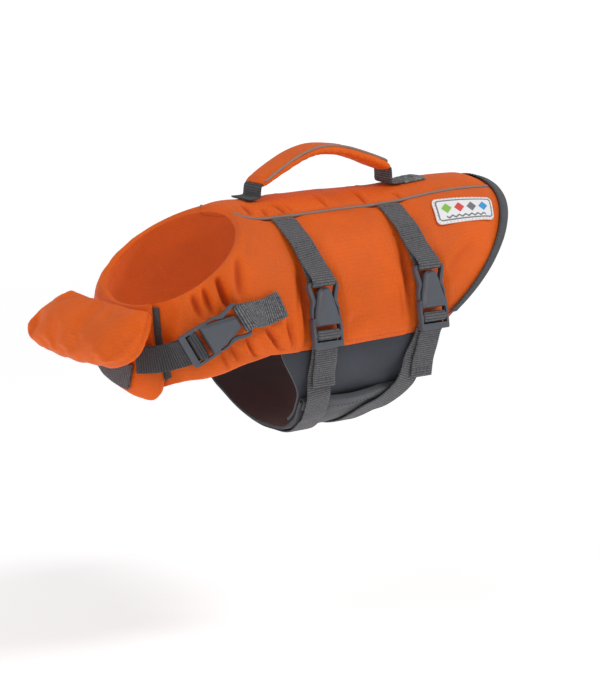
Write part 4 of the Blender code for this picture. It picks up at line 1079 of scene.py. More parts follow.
def make_handle(cloth, piping, web, rough_web):
    f = np.linspace(0, 1, 151)
    middle, ahead, up, half_width, half_height = grip_frame(f)
    a = (np.arange(56) + 0.5) * 2 * math.pi / 56
    x = np.sign(np.cos(a)) * np.abs(np.cos(a)) ** GRIP_SQUARE
    z = np.sign(np.sin(a)) * np.abs(np.sin(a)) ** GRIP_SQUARE
    rings = (middle[:, None] + ACROSS * (half_width[:, None] * x)[..., None]
             + up[:, None] * (half_height[:, None] * z)[..., None])
    # puckers along the seam under the piping, deepest round the bend, and a sewn cross at each end
    under = (np.exp(-((a - math.pi * 1.86) / 0.55) ** 2)
             + np.exp(-((a - math.pi * 1.12) / 0.55) ** 2) * 0.7)[None]
    step = np.sin(f * 2 * math.pi * 21 + 1.9 * np.sin(f * 17))[:, None]
    bend = (0.35 + 0.65 * np.exp(-((f - 0.55) / 0.28) ** 2))[:, None]
    rings += unit(rings - middle[:, None]) * (step * under * bend * 0.00042)[..., None]
    for end in (0.0, 1.0):
        along = (np.abs(f - end) * 105)[:, None]
        cross = (np.exp(-((np.abs(along - 5.5) - 5.0 * np.abs(x[None])) / 0.8) ** 2)
                 * (along < 11.5) * np.abs(z[None]))
        rings -= unit(rings - middle[:, None]) * (cross * 0.00055)[..., None]
    rings += unit(rings - middle[:, None]) * ripple(rings, 0.017, 0.0006, 21)[..., None]
    grip = tube("handle_grip", rings)
    dress(grip, cloth, "orange_cloth", "handle_grip")
    f = np.linspace(0.035, 0.975, 150)
    middle, ahead, up, half_width, half_height = grip_frame(f)
    slant = np.radians(mix(20, 60, f))
    radius = PIPING_RADIUS * 0.72
    square = np.stack([np.cos(slant) ** GRIP_SQUARE, np.sin(slant) ** GRIP_SQUARE])
    line = (middle + ACROSS * ((half_width + radius * 0.6) * square[0])[:, None]
            + up * ((half_height + radius * 0.6) * square[1])[:, None])
    dress(tube("handle_piping", cord_rings(line, radius)), piping, "reflective_piping",
          "handle_piping")
    for name, sign, at, finish in (("handle_web_front", -1, 0.0, web),
                                   ("handle_web_rear", 1, 1.0, rough_web)):
        middle, ahead, up, _, _ = grip_frame(at)
        ahead = ahead * sign
        feet = [np.array([0, middle[1] + sign * d, 0]) for d in (0.0056, 0.0086, 0.0116)]
        for foot in feet:
            foot[2] = spine_top(foot[1]) + SINGLE
        knee = np.array([0, middle[1] + sign * 0.0022, (middle[2] + feet[0][2]) / 2])
        turn = np.array([0, middle[1] + sign * 0.0024, feet[0][2] + 0.0002])
        corners = [middle + ahead * 0.0004, middle + ahead * 0.0020, knee, turn] + feet
        route = rounded([(point, ACROSS) for point in corners], 0.0020)
        strap(name, route, finish, GRIP_WEB_WIDTH)


def spine_top(y):
    s = spine_ring(np.float64(y))
    return float(lifted(s, 0.0, spine_cover(s, 0.0))[2])


# ---- patches and chin float ------------------------------------------------------------------

LABEL_CORNERS = ((5.56, 29), (6.50, 34), (6.36, 47.5), (5.44, 45))
HOOK_FROM = 0.0655
HOOK_TO = 0.0840
HOOK_HALF = 7.6


def corner_place(corners, f, g):
    s = mix(mix(corners[0][0], corners[1][0], f), mix(corners[3][0], corners[2][0], f), g)
    t = mix(mix(corners[0][1], corners[1][1], f), mix(corners[3][1], corners[2][1], f), g)
    return s, t


def rounded_span(f, g, width, height, radius):
    """Shares 0..1 along a patch, drawn in near its short ends so that its corners are round."""
    from_side = np.minimum(g, 1 - g) * height
    cut = radius - np.sqrt(np.maximum(radius ** 2 - np.maximum(radius - from_side, 0) ** 2, 0))
    return 0.5 + (f - 0.5) * (1 - 2 * cut / width)


LABEL_SIZE = (0.045, 0.0185)
LABEL_CORNER = 0.0036
LABEL_LINE = 0.0021  # how far the line lies inside the label's edge


def make_patches(label, rough):
    f, g = np.meshgrid(np.linspace(0, 1, 121), spaced(60, 0.9, 0.9), indexing="ij")
    f = rounded_span(f, g, *LABEL_SIZE, LABEL_CORNER)
    s, t = corner_place(LABEL_CORNERS, f, g)
    height = left_cover(s, t) + GAP * 1.3
    size = np.array(LABEL_SIZE)
    uv = np.stack([f - 0.5, g - 0.5], axis=-1) * size
    # a raised line runs round inside the edge
    inside = np.minimum(size[0] / 2 - np.abs(uv[..., 0]), size[1] / 2 - np.abs(uv[..., 1]))
    raised = 0.00025 * np.exp(-((inside - LABEL_LINE) / 0.0006) ** 2)
    patch = wall("label_patch", lifted(s, t, height + 0.0009 + raised), lifted(s, t, height), uv,
                 round_rim=0.0003)
    dress(patch, label, "white_patch", "label_patch")
    front, back = spine_ring(np.float64(HOOK_FROM)), spine_ring(np.float64(HOOK_TO))
    corners = ((front, HOOK_HALF), (back, HOOK_HALF), (back, -HOOK_HALF), (front, -HOOK_HALF))
    f, g = np.meshgrid(np.linspace(0, 1, 61), np.linspace(0, 1, 61), indexing="ij")
    s, t = corner_place(corners, rounded_span(f, g, 0.0185, 0.018, 0.002), g)
    height = spine_cover(s, t) + GAP * 1.3
    place = form(s, t)
    mound = (np.sin(math.pi * np.clip(f, 0.02, 0.98)) ** 0.6
             * np.sin(math.pi * np.clip(g, 0.02, 0.98)) ** 0.4)
    fuzz = np.random.default_rng(4).uniform(0, 0.0007, f.shape)
    top = height + 0.0006 + mound * (0.0007 + ripple(place, 0.0038, 0.0009, 6) + fuzz)
    hook = wall("hook_patch", lifted(s, t, top), lifted(s, t, height), grid_uv(place),
                round_rim=0.0)
    dress(hook, rough, "rough_tape", "hook_patch")


FLOAT = 0.0190
FLOAT_FLAT = 0.90  # how much of that is modelled, before the cloth is blown out
FLOAT_REACH = 0.017
FLOAT_HINGE = np.array([-0.0028, -0.1522, -0.0458])
FLOAT_FRONT = np.array([-0.0048, -0.1792, -0.0762])
FLOAT_HALF_HINGE = 0.0410
FLOAT_HALF_FRONT = 0.0625


def float_place(p, q):
    """Points of the float's middle plane; p runs from right to left, q from the hinge out."""
    across = p * mix(FLOAT_HALF_HINGE, FLOAT_HALF_FRONT, q ** 0.9) * (1 - 0.09 * q ** 6)
    depth = q * (1 - 0.12 * p ** 2 - 0.16 * p ** 8)
    place = FLOAT_HINGE + (FLOAT_FRONT - FLOAT_HINGE) * depth[..., None]
    return place + np.stack([across, 0.0030 * p * p * (1 - q), 0 * p], axis=-1)


FLOAT_SEAM = 0.0026  # thickness left at the pad's sewn edge
FLOAT_SLACK = 0.028  # how much more cloth than form there is, which puckers it along its seam
FLOAT_PRESSURE = 2.2
FLOAT_FRAMES = 22
FLOAT_MOST = 0.0045  # the furthest that a point may move


def make_chin_float(cloth):
    """Two faces of cloth sewn round the edge and blown out over soft filling."""
    face = -unit(np.cross(ACROSS, FLOAT_FRONT - FLOAT_HINGE))
    p = -np.cos(math.pi * (0.5 + 0.94 * (np.arange(61) / 60 - 0.5)))[:, None]
    p = p / np.abs(p[0, 0])
    q = ((1 - np.cos(math.pi * np.arange(35) / 34)) / 2)[None]
    q = 0.35 * q + 0.65 * np.linspace(0, 1, 35)[None]
    p, q = np.broadcast_arrays(p, q)
    middle = float_place(p, q)
    rim = [middle[0], middle[-1], middle[:, 0], middle[:, -1]]
    away = np.minimum.reduce([line_distance(middle, line)[0] for line in rim])
    half = (FLOAT_SEAM + (FLOAT * FLOAT_FLAT - FLOAT_SEAM) * dome(away / FLOAT_REACH)) / 2
    half = half + ripple(middle, 0.022, 0.0007, 31) * smooth(away / 0.01)
    pad = wall("chin_float", middle + face * half[..., None], middle - face * half[..., None],
               grid_uv(middle), round_rim=0.0)
    blow_out(pad, middle)
    applied(pad, "SUBSURF", levels=2, render_levels=2)
    dress(pad, cloth, "orange_cloth", "chin_float")


def blow_out(pad, middle):
    """Runs the cloth over the filling, with the seam held, and keeps every point near its start."""
    start = np.empty(len(pad.data.vertices) * 3, np.float32)
    pad.data.vertices.foreach_get("co", start)
    start = start.reshape(-1, 3)
    count = len(start) // 2
    held = np.zeros(middle.shape[:2], bool)
    held[0] = held[-1] = True
    held[:, 0] = held[:, -1] = True
    seam = np.flatnonzero(held.ravel())
    group = pad.vertex_groups.new(name="seam")
    group.add([int(k) for k in seam] + [int(k) + count for k in seam], 1.0, "REPLACE")
    modifier = pad.modifiers.new("Cloth", "CLOTH")
    cloth = modifier.settings
    cloth.quality = 7
    cloth.mass = 0.2
    cloth.tension_stiffness = cloth.compression_stiffness = 18.0
    cloth.shear_stiffness = 8.0
    cloth.bending_stiffness = 0.6
    cloth.use_pressure = True
    cloth.uniform_pressure_force = FLOAT_PRESSURE
    cloth.shrink_min = -FLOAT_SLACK
    cloth.vertex_group_mass = group.name
    cloth.effector_weights.gravity = 0.0
    modifier.collision_settings.use_collision = False
    modifier.collision_settings.use_self_collision = False
    for number in range(1, FLOAT_FRAMES + 1):
        bpy.context.scene.frame_set(number)
    shaped = pad.evaluated_get(bpy.context.evaluated_depsgraph_get()).data
    end = np.empty(len(shaped.vertices) * 3, np.float32)
    shaped.vertices.foreach_get("co", end)
    pad.modifiers.remove(modifier)
    pad.vertex_groups.remove(group)
    move = end.reshape(-1, 3) - start
    size = np.linalg.norm(move, axis=1, keepdims=True)
    move *= np.minimum(1.0, FLOAT_MOST / np.maximum(size, 1e-9))
    pad.data.vertices.foreach_set("co", (start + move).ravel())
    pad.data.update()
    bpy.context.scene.frame_set(1)


# ---- buckles ---------------------------------------------------------------------------------

# A buckle body's outline from the tongue to the foot of the ladder: place along the strap, half
# width, and half width of the raised middle at its foot
BodyRow = namedtuple("BodyRow", "along half foot")
BODY = (
    BodyRow(-0.0166, 0.0024, 0.0016),
    BodyRow(-0.0161, 0.0036, 0.0027),
    BodyRow(-0.0150, 0.0045, 0.0036),
    BodyRow(-0.0115, 0.0056, 0.0046),
    BodyRow(-0.0075, 0.0066, 0.0056),
    BodyRow(-0.0030, 0.0079, 0.0070),
    BodyRow(0.0010, 0.0086, 0.0079),
    BodyRow(0.0015, 0.0104, 0.0082),
    BodyRow(0.0045, 0.0106, 0.0088),
    BodyRow(0.0062, 0.0107, 0.0090),
    BodyRow(0.0102, 0.0107, 0.0090),
    BodyRow(0.0130, 0.0107, 0.0090),
    BodyRow(0.0160, 0.0107, 0.0090),
    BodyRow(0.0190, 0.0106, 0.0084),
    BodyRow(0.0198, 0.0098, 0.0078),
)
LARGE = 100.0  # the shapes are worked this much larger,
ASIDE = 50  # and this far from where a grid's points lie, so that none is picked twice
SLOTS = (9, 11)  # rows of the body that are cut through between the rails
CROWN_ROWS = 9
BODY_BACK = 0.0006
BODY_FRONT = 0.0048
CROWN_RISE = 0.0025
CROWN_SLOPE = 0.0009
# Half of the fork: place along the strap, and the arm's outer and inner edges across it
ArmRow = namedtuple("ArmRow", "along outer inner")
ARM = (
    ArmRow(0.0012, 0.0100, 0.0094),
    ArmRow(-0.0012, 0.0105, 0.0091),
    ArmRow(-0.0040, 0.0104, 0.0088),
    ArmRow(-0.0066, 0.0096, 0.0076),
    ArmRow(-0.0090, 0.0092, 0.0066),
    ArmRow(-0.0125, 0.0101, 0.0074),
    ArmRow(-0.0160, 0.0110, 0.0087),
    ArmRow(-0.0184, 0.0113, 0.0093),
    ArmRow(-0.0198, 0.0109, 0.0093),
    ArmRow(-0.0207, 0.0098, 0.0092),
)
ARM_BACK = 0.0010
ARM_THICK = 0.0032
BAR = (-0.0195, 0.0096, 0.0024)  # place along, half length, thickness


def start_editing(piece):
    select_only(piece)
    bpy.ops.object.mode_set(mode="EDIT")
    bpy.ops.mesh.select_mode(type="VERT")


def pick(piece, test, faces=False):
    """Selects the points, or the faces by their middles, that pass a test."""
    bpy.ops.mesh.select_mode(type="FACE" if faces else "VERT")
    bpy.ops.mesh.select_all(action="DESELECT")
    work = bmesh.from_edit_mesh(piece.data)
    for part in (work.faces if faces else work.verts):
        part.select_set(bool(test(part.calc_center_median() if faces else part.co)))
    work.select_flush_mode()
    bmesh.update_edit_mesh(piece.data)


def grid_plate(name, columns, rows):
    """A flat grid whose points lie at whole numbers, ready to be shaped row by row."""
    bpy.ops.object.select_all(action="DESELECT")
    bpy.ops.mesh.primitive_grid_add(x_subdivisions=columns, y_subdivisions=rows, size=2.0)
    piece = bpy.context.active_object
    piece.name = piece.data.name = name
    start_editing(piece)
    bpy.ops.mesh.select_all(action="SELECT")
    bpy.ops.transform.resize(value=(columns / 2, rows / 2, 1.0), center_override=(0, 0, 0))
    bpy.ops.transform.translate(value=(columns / 2, rows / 2, 0.0))
    return piece


def shift_points(piece, column, row, x, y):
    pick(piece, lambda p: abs(p.x - column) < 0.01 and abs(p.y - row) < 0.01)
    bpy.ops.transform.translate(value=(x - column, y - row, 0.0))


def draw_up(height):
    """Extrudes the selected faces upwards."""
    bpy.ops.mesh.extrude_region_move(TRANSFORM_OT_translate={"value": (0, 0, height * LARGE)})


def rounded_plastic(piece, width):
    bpy.ops.object.mode_set(mode="OBJECT")
    applied(piece, "BEVEL", limit_method="ANGLE", angle_limit=0.6, width=width, segments=3,
            use_clamp_overlap=True)
    bpy.ops.object.shade_smooth_by_angle(angle=math.radians(50))


def buckle_body_shape():
    """The body: a rounded tongue with a raised middle, shoulders, and a ladder with two slots."""
    piece = grid_plate("buckle_body", 6, len(BODY) - 1)
    for k, row in enumerate(BODY):
        half_foot = row.foot * 0.5
        for column, x in enumerate((-row.half, -row.foot, -half_foot, 0.0, half_foot, row.foot,
                                    row.half)):
            shift_points(piece, column, k, x * LARGE - ASIDE, row.along * LARGE - ASIDE)
    bpy.ops.mesh.select_all(action="SELECT")
    bpy.ops.transform.translate(value=(ASIDE, ASIDE, BODY_BACK * LARGE))
    for slot in SLOTS:
        low, high = BODY[slot].along * LARGE, BODY[slot + 1].along * LARGE
        pick(piece, lambda p: low < p.y < high and abs(p.x) < BODY[slot].foot * LARGE, faces=True)
        bpy.ops.mesh.delete(type="FACE")
    bpy.ops.mesh.select_all(action="SELECT")
    draw_up(BODY_FRONT - BODY_BACK)
    end = BODY[CROWN_ROWS].along * LARGE
    pick(piece, lambda p: p.z > BODY_FRONT * LARGE * 0.98 and p.y < end
         and abs(p.x) < body_foot(p.y / LARGE) * LARGE, faces=True)
    bpy.ops.mesh.inset(thickness=CROWN_SLOPE * LARGE, depth=CROWN_RISE * LARGE)
    bpy.ops.mesh.select_all(action="SELECT")
    bpy.ops.mesh.normals_make_consistent(inside=False)
    bpy.ops.transform.resize(value=(1 / LARGE,) * 3, center_override=(0, 0, 0))
    rounded_plastic(piece, 0.00045)
    return piece


def body_foot(along):
    return float(np.interp(along, [row.along for row in BODY], [row.foot for row in BODY]))


def buckle_fork_shape():
    """The fork: a bar for the webbing between two arms that narrow and end in spring prongs."""
    piece = grid_plate("buckle_fork", 1, len(ARM) - 1)
    for k, row in enumerate(ARM):
        for column, x in enumerate((row.inner, row.outer)):
            shift_points(piece, column, k, x * LARGE - ASIDE, row.along * LARGE - ASIDE)
    bpy.ops.mesh.select_all(action="SELECT")
    bpy.ops.transform.translate(value=(ASIDE, ASIDE, ARM_BACK * LARGE))
    draw_up(ARM_THICK)
    bpy.ops.mesh.select_all(action="SELECT")
    bpy.ops.transform.resize(value=(1 / LARGE,) * 3, center_override=(0, 0, 0))
    bpy.ops.mesh.normals_make_consistent(inside=False)
    bpy.ops.object.mode_set(mode="OBJECT")
    applied(piece, "MIRROR", use_axis=(True, False, False), use_mirror_merge=False)
    along, half, thick = BAR
    start_editing(piece)
    bpy.ops.mesh.select_all(action="DESELECT")
    bpy.ops.mesh.primitive_cylinder_add(vertices=16, radius=thick / 2, depth=half * 2,
                                        location=(0, along, ARM_BACK + ARM_THICK / 2),
                                        rotation=(0, math.pi / 2, 0))
    bpy.ops.mesh.select_all(action="SELECT")
    bpy.ops.mesh.normals_make_consistent(inside=False)
    rounded_plastic(piece, 0.0006)
    return piece


def seated_copy(shape, name, seat):
    """A copy of a buckle part with its own mesh, laid in a seat's frame."""
    piece = bpy.data.objects.new(name, shape.data.copy())
    bpy.context.scene.collection.objects.link(piece)
    select_only(piece)
    piece.matrix_world = Matrix([[*row, place] for row, place in
                                 zip(np.stack([seat.across, seat.along, seat.out], axis=1).tolist(),
                                     seat.origin.tolist())] + [[0, 0, 0, 1]])
    bpy.ops.object.transform_apply(location=True, rotation=True, scale=True)
    return piece


def make_buckles(plastic):
    shapes = {"buckle_female_": buckle_body_shape(), "buckle_male_": buckle_fork_shape()}
    seats = {"front": girth_seat(FRONT_STRAP), "rear": girth_seat(REAR_STRAP), "neck": neck_seat()}
    for part, shape in shapes.items():
        for tag, seat in seats.items():
            dress(seated_copy(shape, part + tag, seat), plastic, "grey_plastic", part + tag)
        bpy.data.objects.remove(shape, do_unlink=True)


# ---- stitches --------------------------------------------------------------------------------

STITCH = 0.0021
STITCH_PITCH = 0.0029
THREAD = 0.00023
# Share of the stitch's length, girth and height over the cloth, in threads
STITCH_RINGS = ((0, 0.35, -0.9), (0.16, 0.9, 0.1), (0.5, 1, 0.45), (0.84, 0.9, 0.1),
                (1, 0.35, -0.9))
LOW_INSET = 4  # rows of a flank's grid between its low edge and the stitches over it
TRUNK_MIDDLE = np.array([0.0, 0.0, -0.0695])


def from_trunk(point):
    return unit((point - TRUNK_MIDDLE) * [1.0, 0.0, 1.0])


def seam_stitches(piece, line):
    """Both ends of each stitch on a line that is laid on a finished piece from outside."""
    tree = BVHTree.FromObject(bpy.data.objects[FINISHED + piece],
                              bpy.context.evaluated_depsgraph_get())
    far = lengths(line)
    pairs = []
    for start in np.arange(STITCH_PITCH / 2, far[-1] - STITCH, STITCH_PITCH):
        ends = []
        for at in (start, start + STITCH):
            point = np.array([np.interp(at, far, line[:, k]) for k in range(3)])
            up = Vector(from_trunk(point))
            hit = tree.ray_cast(Vector(point) + up * 0.006, -up, 0.014)[0]
            if hit is not None:
                ends.append((np.array(hit), np.array(up)))
        if len(ends) == 2 and np.linalg.norm(ends[0][0] - ends[1][0]) < STITCH * 1.3:
            pairs.append(ends)
    return pairs


def sewn(name, pairs, thread, slot):
    """Short rounded lengths of thread, joined into one piece."""
    a = np.arange(6) * math.pi / 3
    points, faces = [], []
    for (start, up_start), (end, up_end) in pairs:
        ahead, up = unit(end - start), unit(up_start + up_end)
        side = np.cross(ahead, up)
        base = len(points)
        for share, girth, lift in STITCH_RINGS:
            middle = mix(start, end, share) + up * THREAD * lift
            ring = np.outer(np.cos(a), side) + np.outer(np.sin(a), up)
            points += list(middle + THREAD * girth * ring)
        faces += [(low + k, low + (k + 1) % 6, low + 6 + (k + 1) % 6, low + 6 + k)
                  for low in range(base, base + 24, 6) for k in range(6)]
        faces += [tuple(range(base + 5, base - 1, -1)), tuple(range(base + 24, base + 30))]
    dress(new_mesh(name, points, faces), thread, slot)


def strap_line(name, start, stop, side):
    """A line along a webbing between two of its lengths, counted from its start, to one side."""
    middle, across = ROUTES[name]
    f = np.linspace(start, stop, 40) / WEB_STEP
    k = np.arange(len(middle))
    line = middle + across * side
    return np.stack([np.interp(f, k, line[:, axis]) for axis in range(3)], axis=-1)


def strap_across(name, at):
    middle, across = ROUTES[name]
    k = int(round(at / WEB_STEP))
    return middle[k] + across[k] * np.linspace(-1, 1, 21)[:, None] * (WEB_WIDTH / 2 - 0.0016)


def strap_box(name, start, stop):
    """Two rows across a webbing and the two that join them along its selvedges."""
    side = WEB_WIDTH / 2 - 0.0018
    lines = [strap_across(name, start), strap_across(name, stop)]
    lines += [strap_line(name, start, stop, way) for way in (-side, side)]
    return [stitch for line in lines for stitch in seam_stitches(name, line)]


def patch_line(corners, inset):
    """A line round a patch, a share in from its edges."""
    f = np.array([inset, 1 - inset, 1 - inset, inset, inset])
    g = np.array([inset, inset, 1 - inset, 1 - inset, inset])
    steps = np.linspace(0, 4, 161)
    s, t = corner_place(corners, np.interp(steps, range(5), f), np.interp(steps, range(5), g))
    return lifted(s, t, FOAM + 0 * s)


def make_stitches(grey_thread, orange_thread, pale_thread):
    grey, orange = [], []
    for tag in ("front", "rear"):
        upper, long = "girth_upper_" + tag, "girth_web_" + tag
        length = len(ROUTES[long][0]) * WEB_STEP
        grey += strap_box(upper, 0.0245, 0.0330)
        grey += seam_stitches(upper, strap_across(upper, 0.0030))
        for at in (length - 0.0040, length - 0.0065):
            grey += seam_stitches(long, strap_across(long, at))
    grey += strap_box("neck_patch_web", 0.0022, 0.0125)
    length = len(ROUTES["neck_web"][0]) * WEB_STEP
    grey += seam_stitches("neck_web", strap_across("neck_web", length - 0.0035))
    low = FLANK_LOW - REAR_BINDING_SHORT
    rows = rear_edge_rows(np.linspace(-low, low, 217))
    edge, _, back, _ = (np.stack(side) for side in zip(*rows))
    grey += seam_stitches("rear_binding", mix(back, edge, 0.22))
    u = np.linspace(0.03, 0.97, 97)
    grey += seam_stitches("belly_binding", belly_point(u, BELLY_TOP + BELLY_BOUND * 0.82, BELLY))
    sewn("stitches_grey", grey, grey_thread, "grey_webbing")
    for name, flank in FLANKS.items():
        s, t, _, (column, row) = flank_grid(flank.hem, flank.end, flank.front_rows)
        line = lifted(s, flank.side * t, flank.lap(t) + FOAM)
        if flank.side > 0:
            orange += seam_stitches(name, line[:column - 2, -6])
        orange += seam_stitches(name, line[column + 2:-6, row - LOW_INSET])
    sewn("stitches_orange", orange, orange_thread, "orange_cloth")
    pale = seam_stitches("label_patch", patch_line(LABEL_CORNERS, 0.03))
    sewn("stitches_pale", pale, pale_thread, "white_patch")


# ---- finishes --------------------------------------------------------------------------------

class Finish:
    """A material being put together: its node tree, shader and a few short ways to add nodes."""

    def __init__(self, name, roughness=0.6, **sockets):
        self.material = bpy.data.materials.new(name)
        self.material.use_nodes = True
        self.tree = self.material.node_tree
        self.shader = self.tree.nodes["Principled BSDF"]
        self.shader.inputs["Roughness"].default_value = roughness
        for key, value in sockets.items():
            self.shader.inputs[key.replace("_", " ")].default_value = value

    def node(self, kind, **settings):
        node = self.tree.nodes.new("ShaderNode" + kind)
        for key, value in settings.items():
            setattr(node, key, value)
        return node

    def feed(self, socket, value):
        """Links an output to a socket, or sets the socket's own value."""
        if isinstance(value, bpy.types.NodeSocket):
            self.tree.links.new(value, socket)
        elif value is not None:
            socket.default_value = value

    def math(self, operation, first, second=None, third=None):
        node = self.node("Math", operation=operation)
        for socket, value in zip(node.inputs, (first, second, third)):
            self.feed(socket, value)
        return node.outputs[0]

    def span(self, value, low, high, start=0.0, end=1.0):
        """Value smoothly mapped from low..high to start..end."""
        node = self.node("MapRange", interpolation_type="SMOOTHSTEP")
        for socket, part in zip(node.inputs, (value, low, high, start, end)):
            self.feed(socket, part)
        return node.outputs[0]

    def cloth_axes(self):
        """The cloth's own two axes, in metres."""
        split = self.node("SeparateXYZ")
        self.feed(split.inputs[0], self.node("UVMap", uv_map="Cloth").outputs[0])
        return split.outputs[0], split.outputs[1]

    def body(self):
        return self.node("TexCoord").outputs["Object"]

    def noise(self, size, detail=3.0, roughness=0.55, place=None, stretch=None):
        """Even noise from 0 to 1, with its features about size metres across."""
        node = self.node("TexNoise")
        self.feed(node.inputs["Scale"], 1.0 / size)
        self.feed(node.inputs["Detail"], detail)
        self.feed(node.inputs["Roughness"], roughness)
        place = place or self.body()
        if stretch:
            mapping = self.node("Mapping")
            self.feed(mapping.inputs["Vector"], place)
            mapping.inputs["Scale"].default_value = stretch
            place = mapping.outputs[0]
        self.feed(node.inputs["Vector"], place)
        return node.outputs[0]

    def blend(self, first, second, share, mode="MIX"):
        node = self.node("Mix", data_type="RGBA", blend_type=mode)
        self.feed(node.inputs["Factor"], share)
        for socket, value in ((node.inputs[6], first), (node.inputs[7], second)):
            colour = isinstance(value, tuple) and len(value) == 3
            self.feed(socket, (*value, 1.0) if colour else value)
        return node.outputs[2]

    def line(self, axis, pitch, width, shift=0.0):
        """1 on evenly spaced lines across an axis and 0 between them."""
        share = self.math("FRACT", self.math("ADD", self.math("DIVIDE", axis, pitch), shift))
        off = self.math("MULTIPLY", self.math("ABSOLUTE", self.math("SUBTRACT", share, 0.5)), pitch)
        return self.span(off, width * 0.5, width, 1.0, 0.0)

    def wave(self, axis, pitch, shift=0.0):
        """A ripple from 0 to 1 along an axis."""
        turn = self.math("MULTIPLY_ADD", axis, 2 * math.pi / pitch, shift)
        return self.math("MULTIPLY_ADD", self.math("SINE", turn), 0.5, 0.5)

    def total(self, *shares):
        """Weighted sum of (value, weight) pairs."""
        result = 0.0
        for value, weight in shares:
            result = self.math("MULTIPLY_ADD", value, weight, result)
        return result

    def relief(self, height, depth, strength=1.0):
        """Bump from a height of 0 to 1 that stands for a real depth in metres."""
        bump = self.node("Bump")
        self.feed(bump.inputs["Height"], height)
        self.feed(bump.inputs["Distance"], depth)
        self.feed(bump.inputs["Strength"], strength)
        self.feed(self.shader.inputs["Normal"], bump.outputs[0])

    def paint(self, colour):
        self.feed(self.shader.inputs["Base Color"], colour)

    def roughen(self, value, low, high):
        self.feed(self.shader.inputs["Roughness"], self.span(value, 0.0, 1.0, low, high))


def plus(colour, share):
    """A colour made lighter, or darker with a share below 0."""
    return tuple(min(part * (1 + share), 1.0) for part in colour[:3])


def ripstop_finish(colours, sizes):
    cloth = Finish("orange ripstop", Sheen_Weight=0.08, Sheen_Roughness=0.45,
                   Specular_IOR_Level=0.25)
    cloth.shader.inputs["Sheen Tint"].default_value = (1.0, 0.62, 0.35, 1.0)
    u, v = cloth.cloth_axes()
    grid = cloth.math("MAXIMUM", cloth.line(u, sizes.ripstop_pitch, 0.00040),
                      cloth.line(v, sizes.ripstop_pitch, 0.00040))
    weave = cloth.math("MULTIPLY", cloth.wave(u, 0.0005), cloth.wave(v, 0.0005))
    patchy = cloth.noise(0.045, 4.0)
    fine = cloth.noise(0.0016, 2.0)
    base = tuple(colours.orange)
    tone = cloth.blend(plus(base, -0.10), plus(base, 0.08), cloth.span(patchy, 0.3, 0.7))
    tone = cloth.blend(tone, plus(base, -0.20), cloth.math("MULTIPLY", grid, 0.22))
    tone = cloth.blend(tone, plus(base, 0.30),
                       cloth.math("MULTIPLY", cloth.span(fine, 0.45, 0.8), 0.25))
    # painted shade: the cloth is blended towards a deeper red in the troughs of its folds, where
    # shade falls
    fold = cloth.node("Attribute", attribute_name="Fold").outputs["Fac"]
    crease_shade = (base[0] * 0.62, base[1] * 0.38, base[2] * 0.5)
    tone = cloth.blend(tone, crease_shade, cloth.span(fold, 0.1, 1.0, 0.0, 0.75))
    cloth.paint(tone)
    cloth.roughen(patchy, 0.50, 0.66)
    height = cloth.total((grid, 0.12), (weave, 0.16), (cloth.noise(0.007, 3.0), 0.80))
    cloth.relief(height, 0.0006, 0.8)
    return cloth.material


def slate_finish(name, base):
    cloth = Finish(name, Sheen_Weight=0.20, Sheen_Roughness=0.5, Specular_IOR_Level=0.35)
    u, v = cloth.cloth_axes()
    weave = cloth.math("MULTIPLY", cloth.wave(u, 0.0006), cloth.wave(v, 0.0006))
    patchy = cloth.noise(0.030, 4.0)
    tone = cloth.blend(plus(base, -0.16), plus(base, 0.18), cloth.span(patchy, 0.3, 0.7))
    tone = cloth.blend(tone, plus(base, -0.30), cloth.math("MULTIPLY", weave, 0.35))
    cloth.paint(tone)
    cloth.roughen(patchy, 0.52, 0.70)
    cloth.relief(cloth.total((weave, 0.3), (cloth.noise(0.009, 3.0), 0.7)), 0.0005, 0.7)
    return cloth.material


def woven_web(name, dark, light, pitch, ends, specks, groove_shade):
    """Ribs across the strap, each a row of small staggered yarn ends, by turns light and dark."""
    web = Finish(name, roughness=0.80, Sheen_Weight=0.12, Specular_IOR_Level=0.25)
    u, v = web.cloth_axes()
    row = web.math("FLOOR", web.math("DIVIDE", u, pitch))
    rib = web.wave(u, pitch, -math.pi / 2)
    end = web.wave(v, 0.00125, web.math("MULTIPLY", row, math.pi))
    yarn = web.node("TexWhiteNoise", noise_dimensions="2D")
    cell = web.node("CombineXYZ")
    web.feed(cell.inputs[0], row)
    web.feed(cell.inputs[1], web.math("FLOOR", web.math("DIVIDE", v, 0.000625)))
    web.feed(yarn.inputs["Vector"], cell.outputs[0])
    fleck = web.span(web.noise(0.0011, 1.0), 0.40, 0.66)
    tone = web.total((end, ends), (yarn.outputs[0], specks * 0.5), (fleck, specks * 0.6),
                     (web.noise(0.02), 0.25))
    tone = web.blend(dark, light, tone)
    # painted shade: the grooves between the ribs are darkened below the dark yarn
    web.paint(web.blend(plus(dark, -groove_shade), tone, web.span(rib, 0.0, 0.5)))
    web.relief(web.total((rib, 0.6), (end, 0.4)), 0.00036, 1.0)
    return web.material


def webbing_finish(colours, sizes):
    return woven_web("grey webbing", tuple(colours.webbing_dark), tuple(colours.webbing_light),
                     sizes.rib_pitch, 0.32, 0.55, 0.05)


def close_webbing_finish(colours, sizes):
    return woven_web("close grey webbing", plus(colours.webbing_dark, -0.2),
                     plus(colours.webbing_light, -0.38), sizes.rib_pitch, 0.25, 0.35, 0.35)


def specked_webbing_finish(colours, sizes):
    return woven_web("specked grey webbing", plus(colours.webbing_dark, -0.45),
                     plus(colours.webbing_light, 0.25), sizes.rib_pitch, 0.25, 0.80, 0.0)


